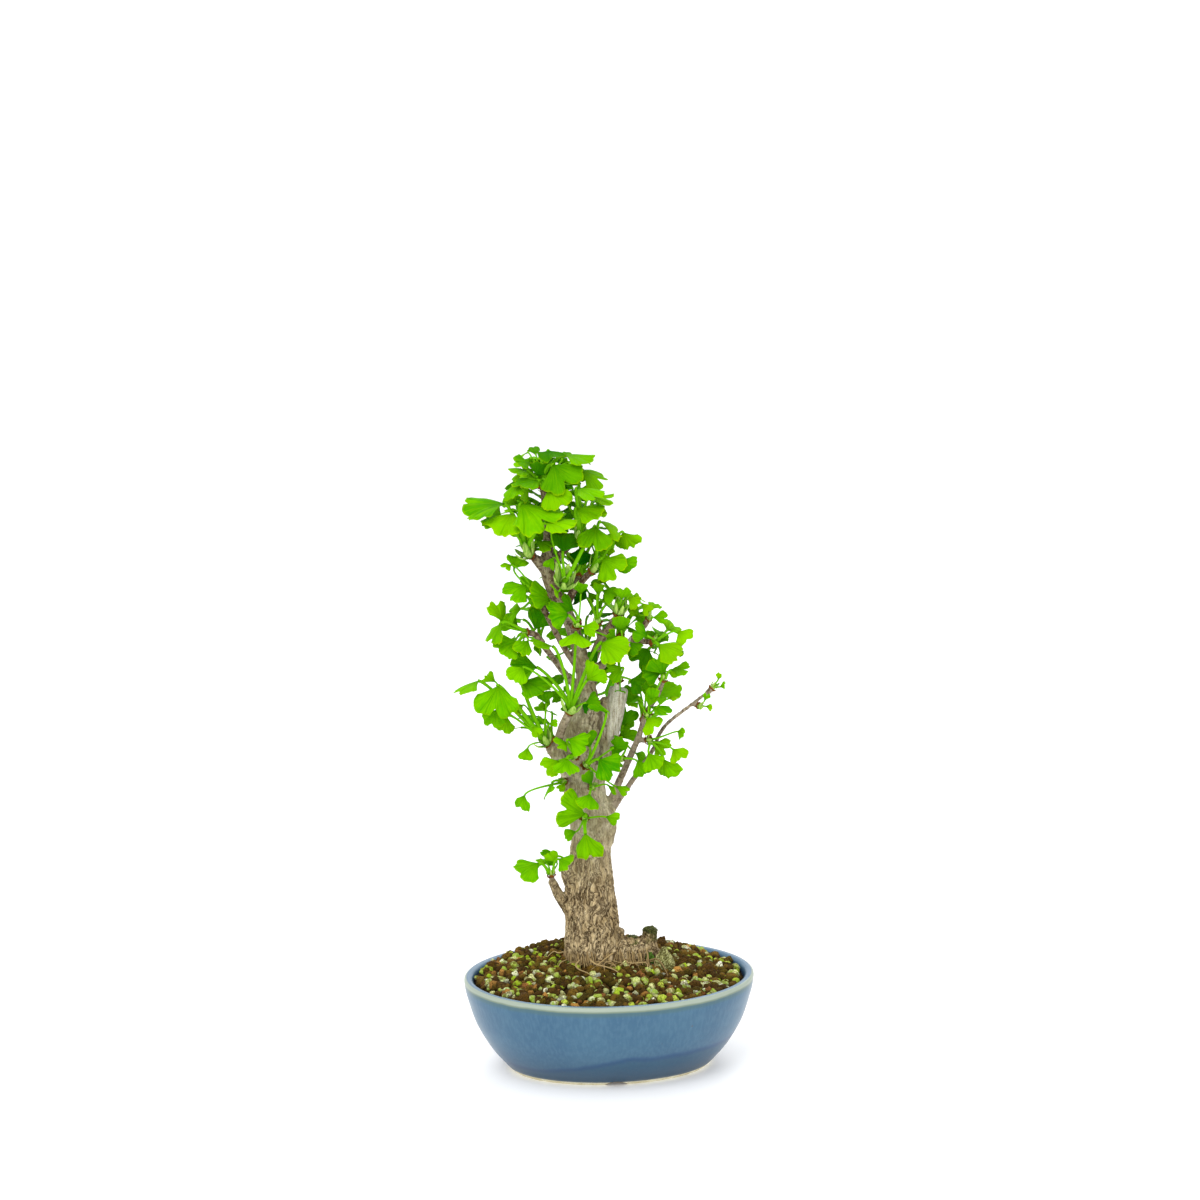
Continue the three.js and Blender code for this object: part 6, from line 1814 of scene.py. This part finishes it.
fibres = {"beard": 70, "creeping": 40, "frontMost": 30, "size": (0.25, 0.62), "beardSize": 0.8,
          "taper": 0.55, "points": 15, "sides": 5, "loopSize": 0.62, "loopSides": 7, "loops": [
              [[27, -9, 76], [31, -14, 78.6], [34, -19, 77.4], [37, -24, 72.5], [38, -27, 69.5]],
              [[-14, -12, 79], [-10, -15, 76.5], [-4, -18, 75.6], [2, -20, 73.6], [6, -23, 71]],
              [[-21, -8, 78], [-24, -12, 75.5], [-22, -17, 74], [-17, -22, 73], [-12, -27, 70.5]],
              [[2, -8, 82], [-3, -11, 79.5], [-8, -13.5, 76.5], [-12, -17, 74], [-14, -22, 71]]]}


def beardLine(rng, k):
    # a root that hangs down the trunk's foot, or every second time down the fanned root
    across = rng.uniform(0, 1)
    turn = math.radians(200 + 130 * across)
    if k % 2:
        foot = np.array([-11 + 17.5 * math.cos(turn), 10 + 17.5 * math.sin(turn)])
    else:
        foot = np.array([rng.uniform(4, 27), rng.uniform(-6.5, -4.5)])
    first, second = rng.uniform(-1, 1, 2)
    return [[*foot, 82 + rng.uniform(-3, 2)], [*(foot + [first, -1.5]), 78.5],
            [*(foot + [1.6 * first + second, -3.4]), 75.0],
            [*(foot + [2.4 * first + 2 * second, -6.5]), 71.5 + rng.uniform(-1, 1)]]


def creepingLine(rng, k):
    # a root that runs out over the soil, most of them at the front, and dips into it at its end
    front = k < fibres["frontMost"]
    turn = rng.uniform(math.radians(195), math.radians(345)) if front else rng.uniform(0, 2 * math.pi)
    reach = np.linspace(rng.uniform(15, 18), rng.uniform(24, 34), 4)
    bend = turn + np.cumsum(rng.normal(0, 0.2, 4))
    x, y = -9 + rng.uniform(-4, 24) + reach * np.cos(bend), 8 + reach * np.sin(bend) * 0.9
    z = soilHeight(x, y) + 2.4 + rng.uniform(-0.6, 1.2, 4)
    z[-1] -= 3
    return np.stack([x, y, z], -1)


def makeFibres():
    # fine dead roots: a beard at the foot, others that creep over the soil, and a few thick ones in loops
    rng = np.random.default_rng(5)
    heap = Heap()
    shares = np.linspace(0, 1, fibres["points"])

    def addFibre(line, size, sides=fibres["sides"]):
        radii = size * (1 - fibres["taper"] * shares)
        tube = closedTube(curveAt(line, shares), radii, (0.1, 0.2, 1), sides)
        heap.add(*tube, sprig=[rng.random(), 0, 0])

    for k in range(fibres["beard"]):
        addFibre(beardLine(rng, k), rng.uniform(*fibres["size"]) * fibres["beardSize"])
    for k in range(fibres["creeping"]):
        addFibre(creepingLine(rng, k), rng.uniform(*fibres["size"]))
    for line in fibres["loops"]:
        addFibre(line, fibres["loopSize"], fibres["loopSides"])
    material, shade, shader = newMaterial("root_fibre", {"Roughness": 0.9})
    tone = parts(ownAttribute(shade, "sprig"))[0]
    fleck = grainNoise(objectPlace(shade), 900, 3)
    brown = blend(tone * 0.7 + fleck * 0.3, fromScreen(104, 80, 42), fromScreen(190, 164, 112))
    feed(shade, shader, {"Base Color": brown, "Normal": relief(shade, fleck, 0.0003, 0.6)})
    addPiece("root_fibres", heap, material, "bark")


makeStone()
dressScreens()
makeMoss()
makeFibres()
print("stone, screens, moss and root fibres are in place")
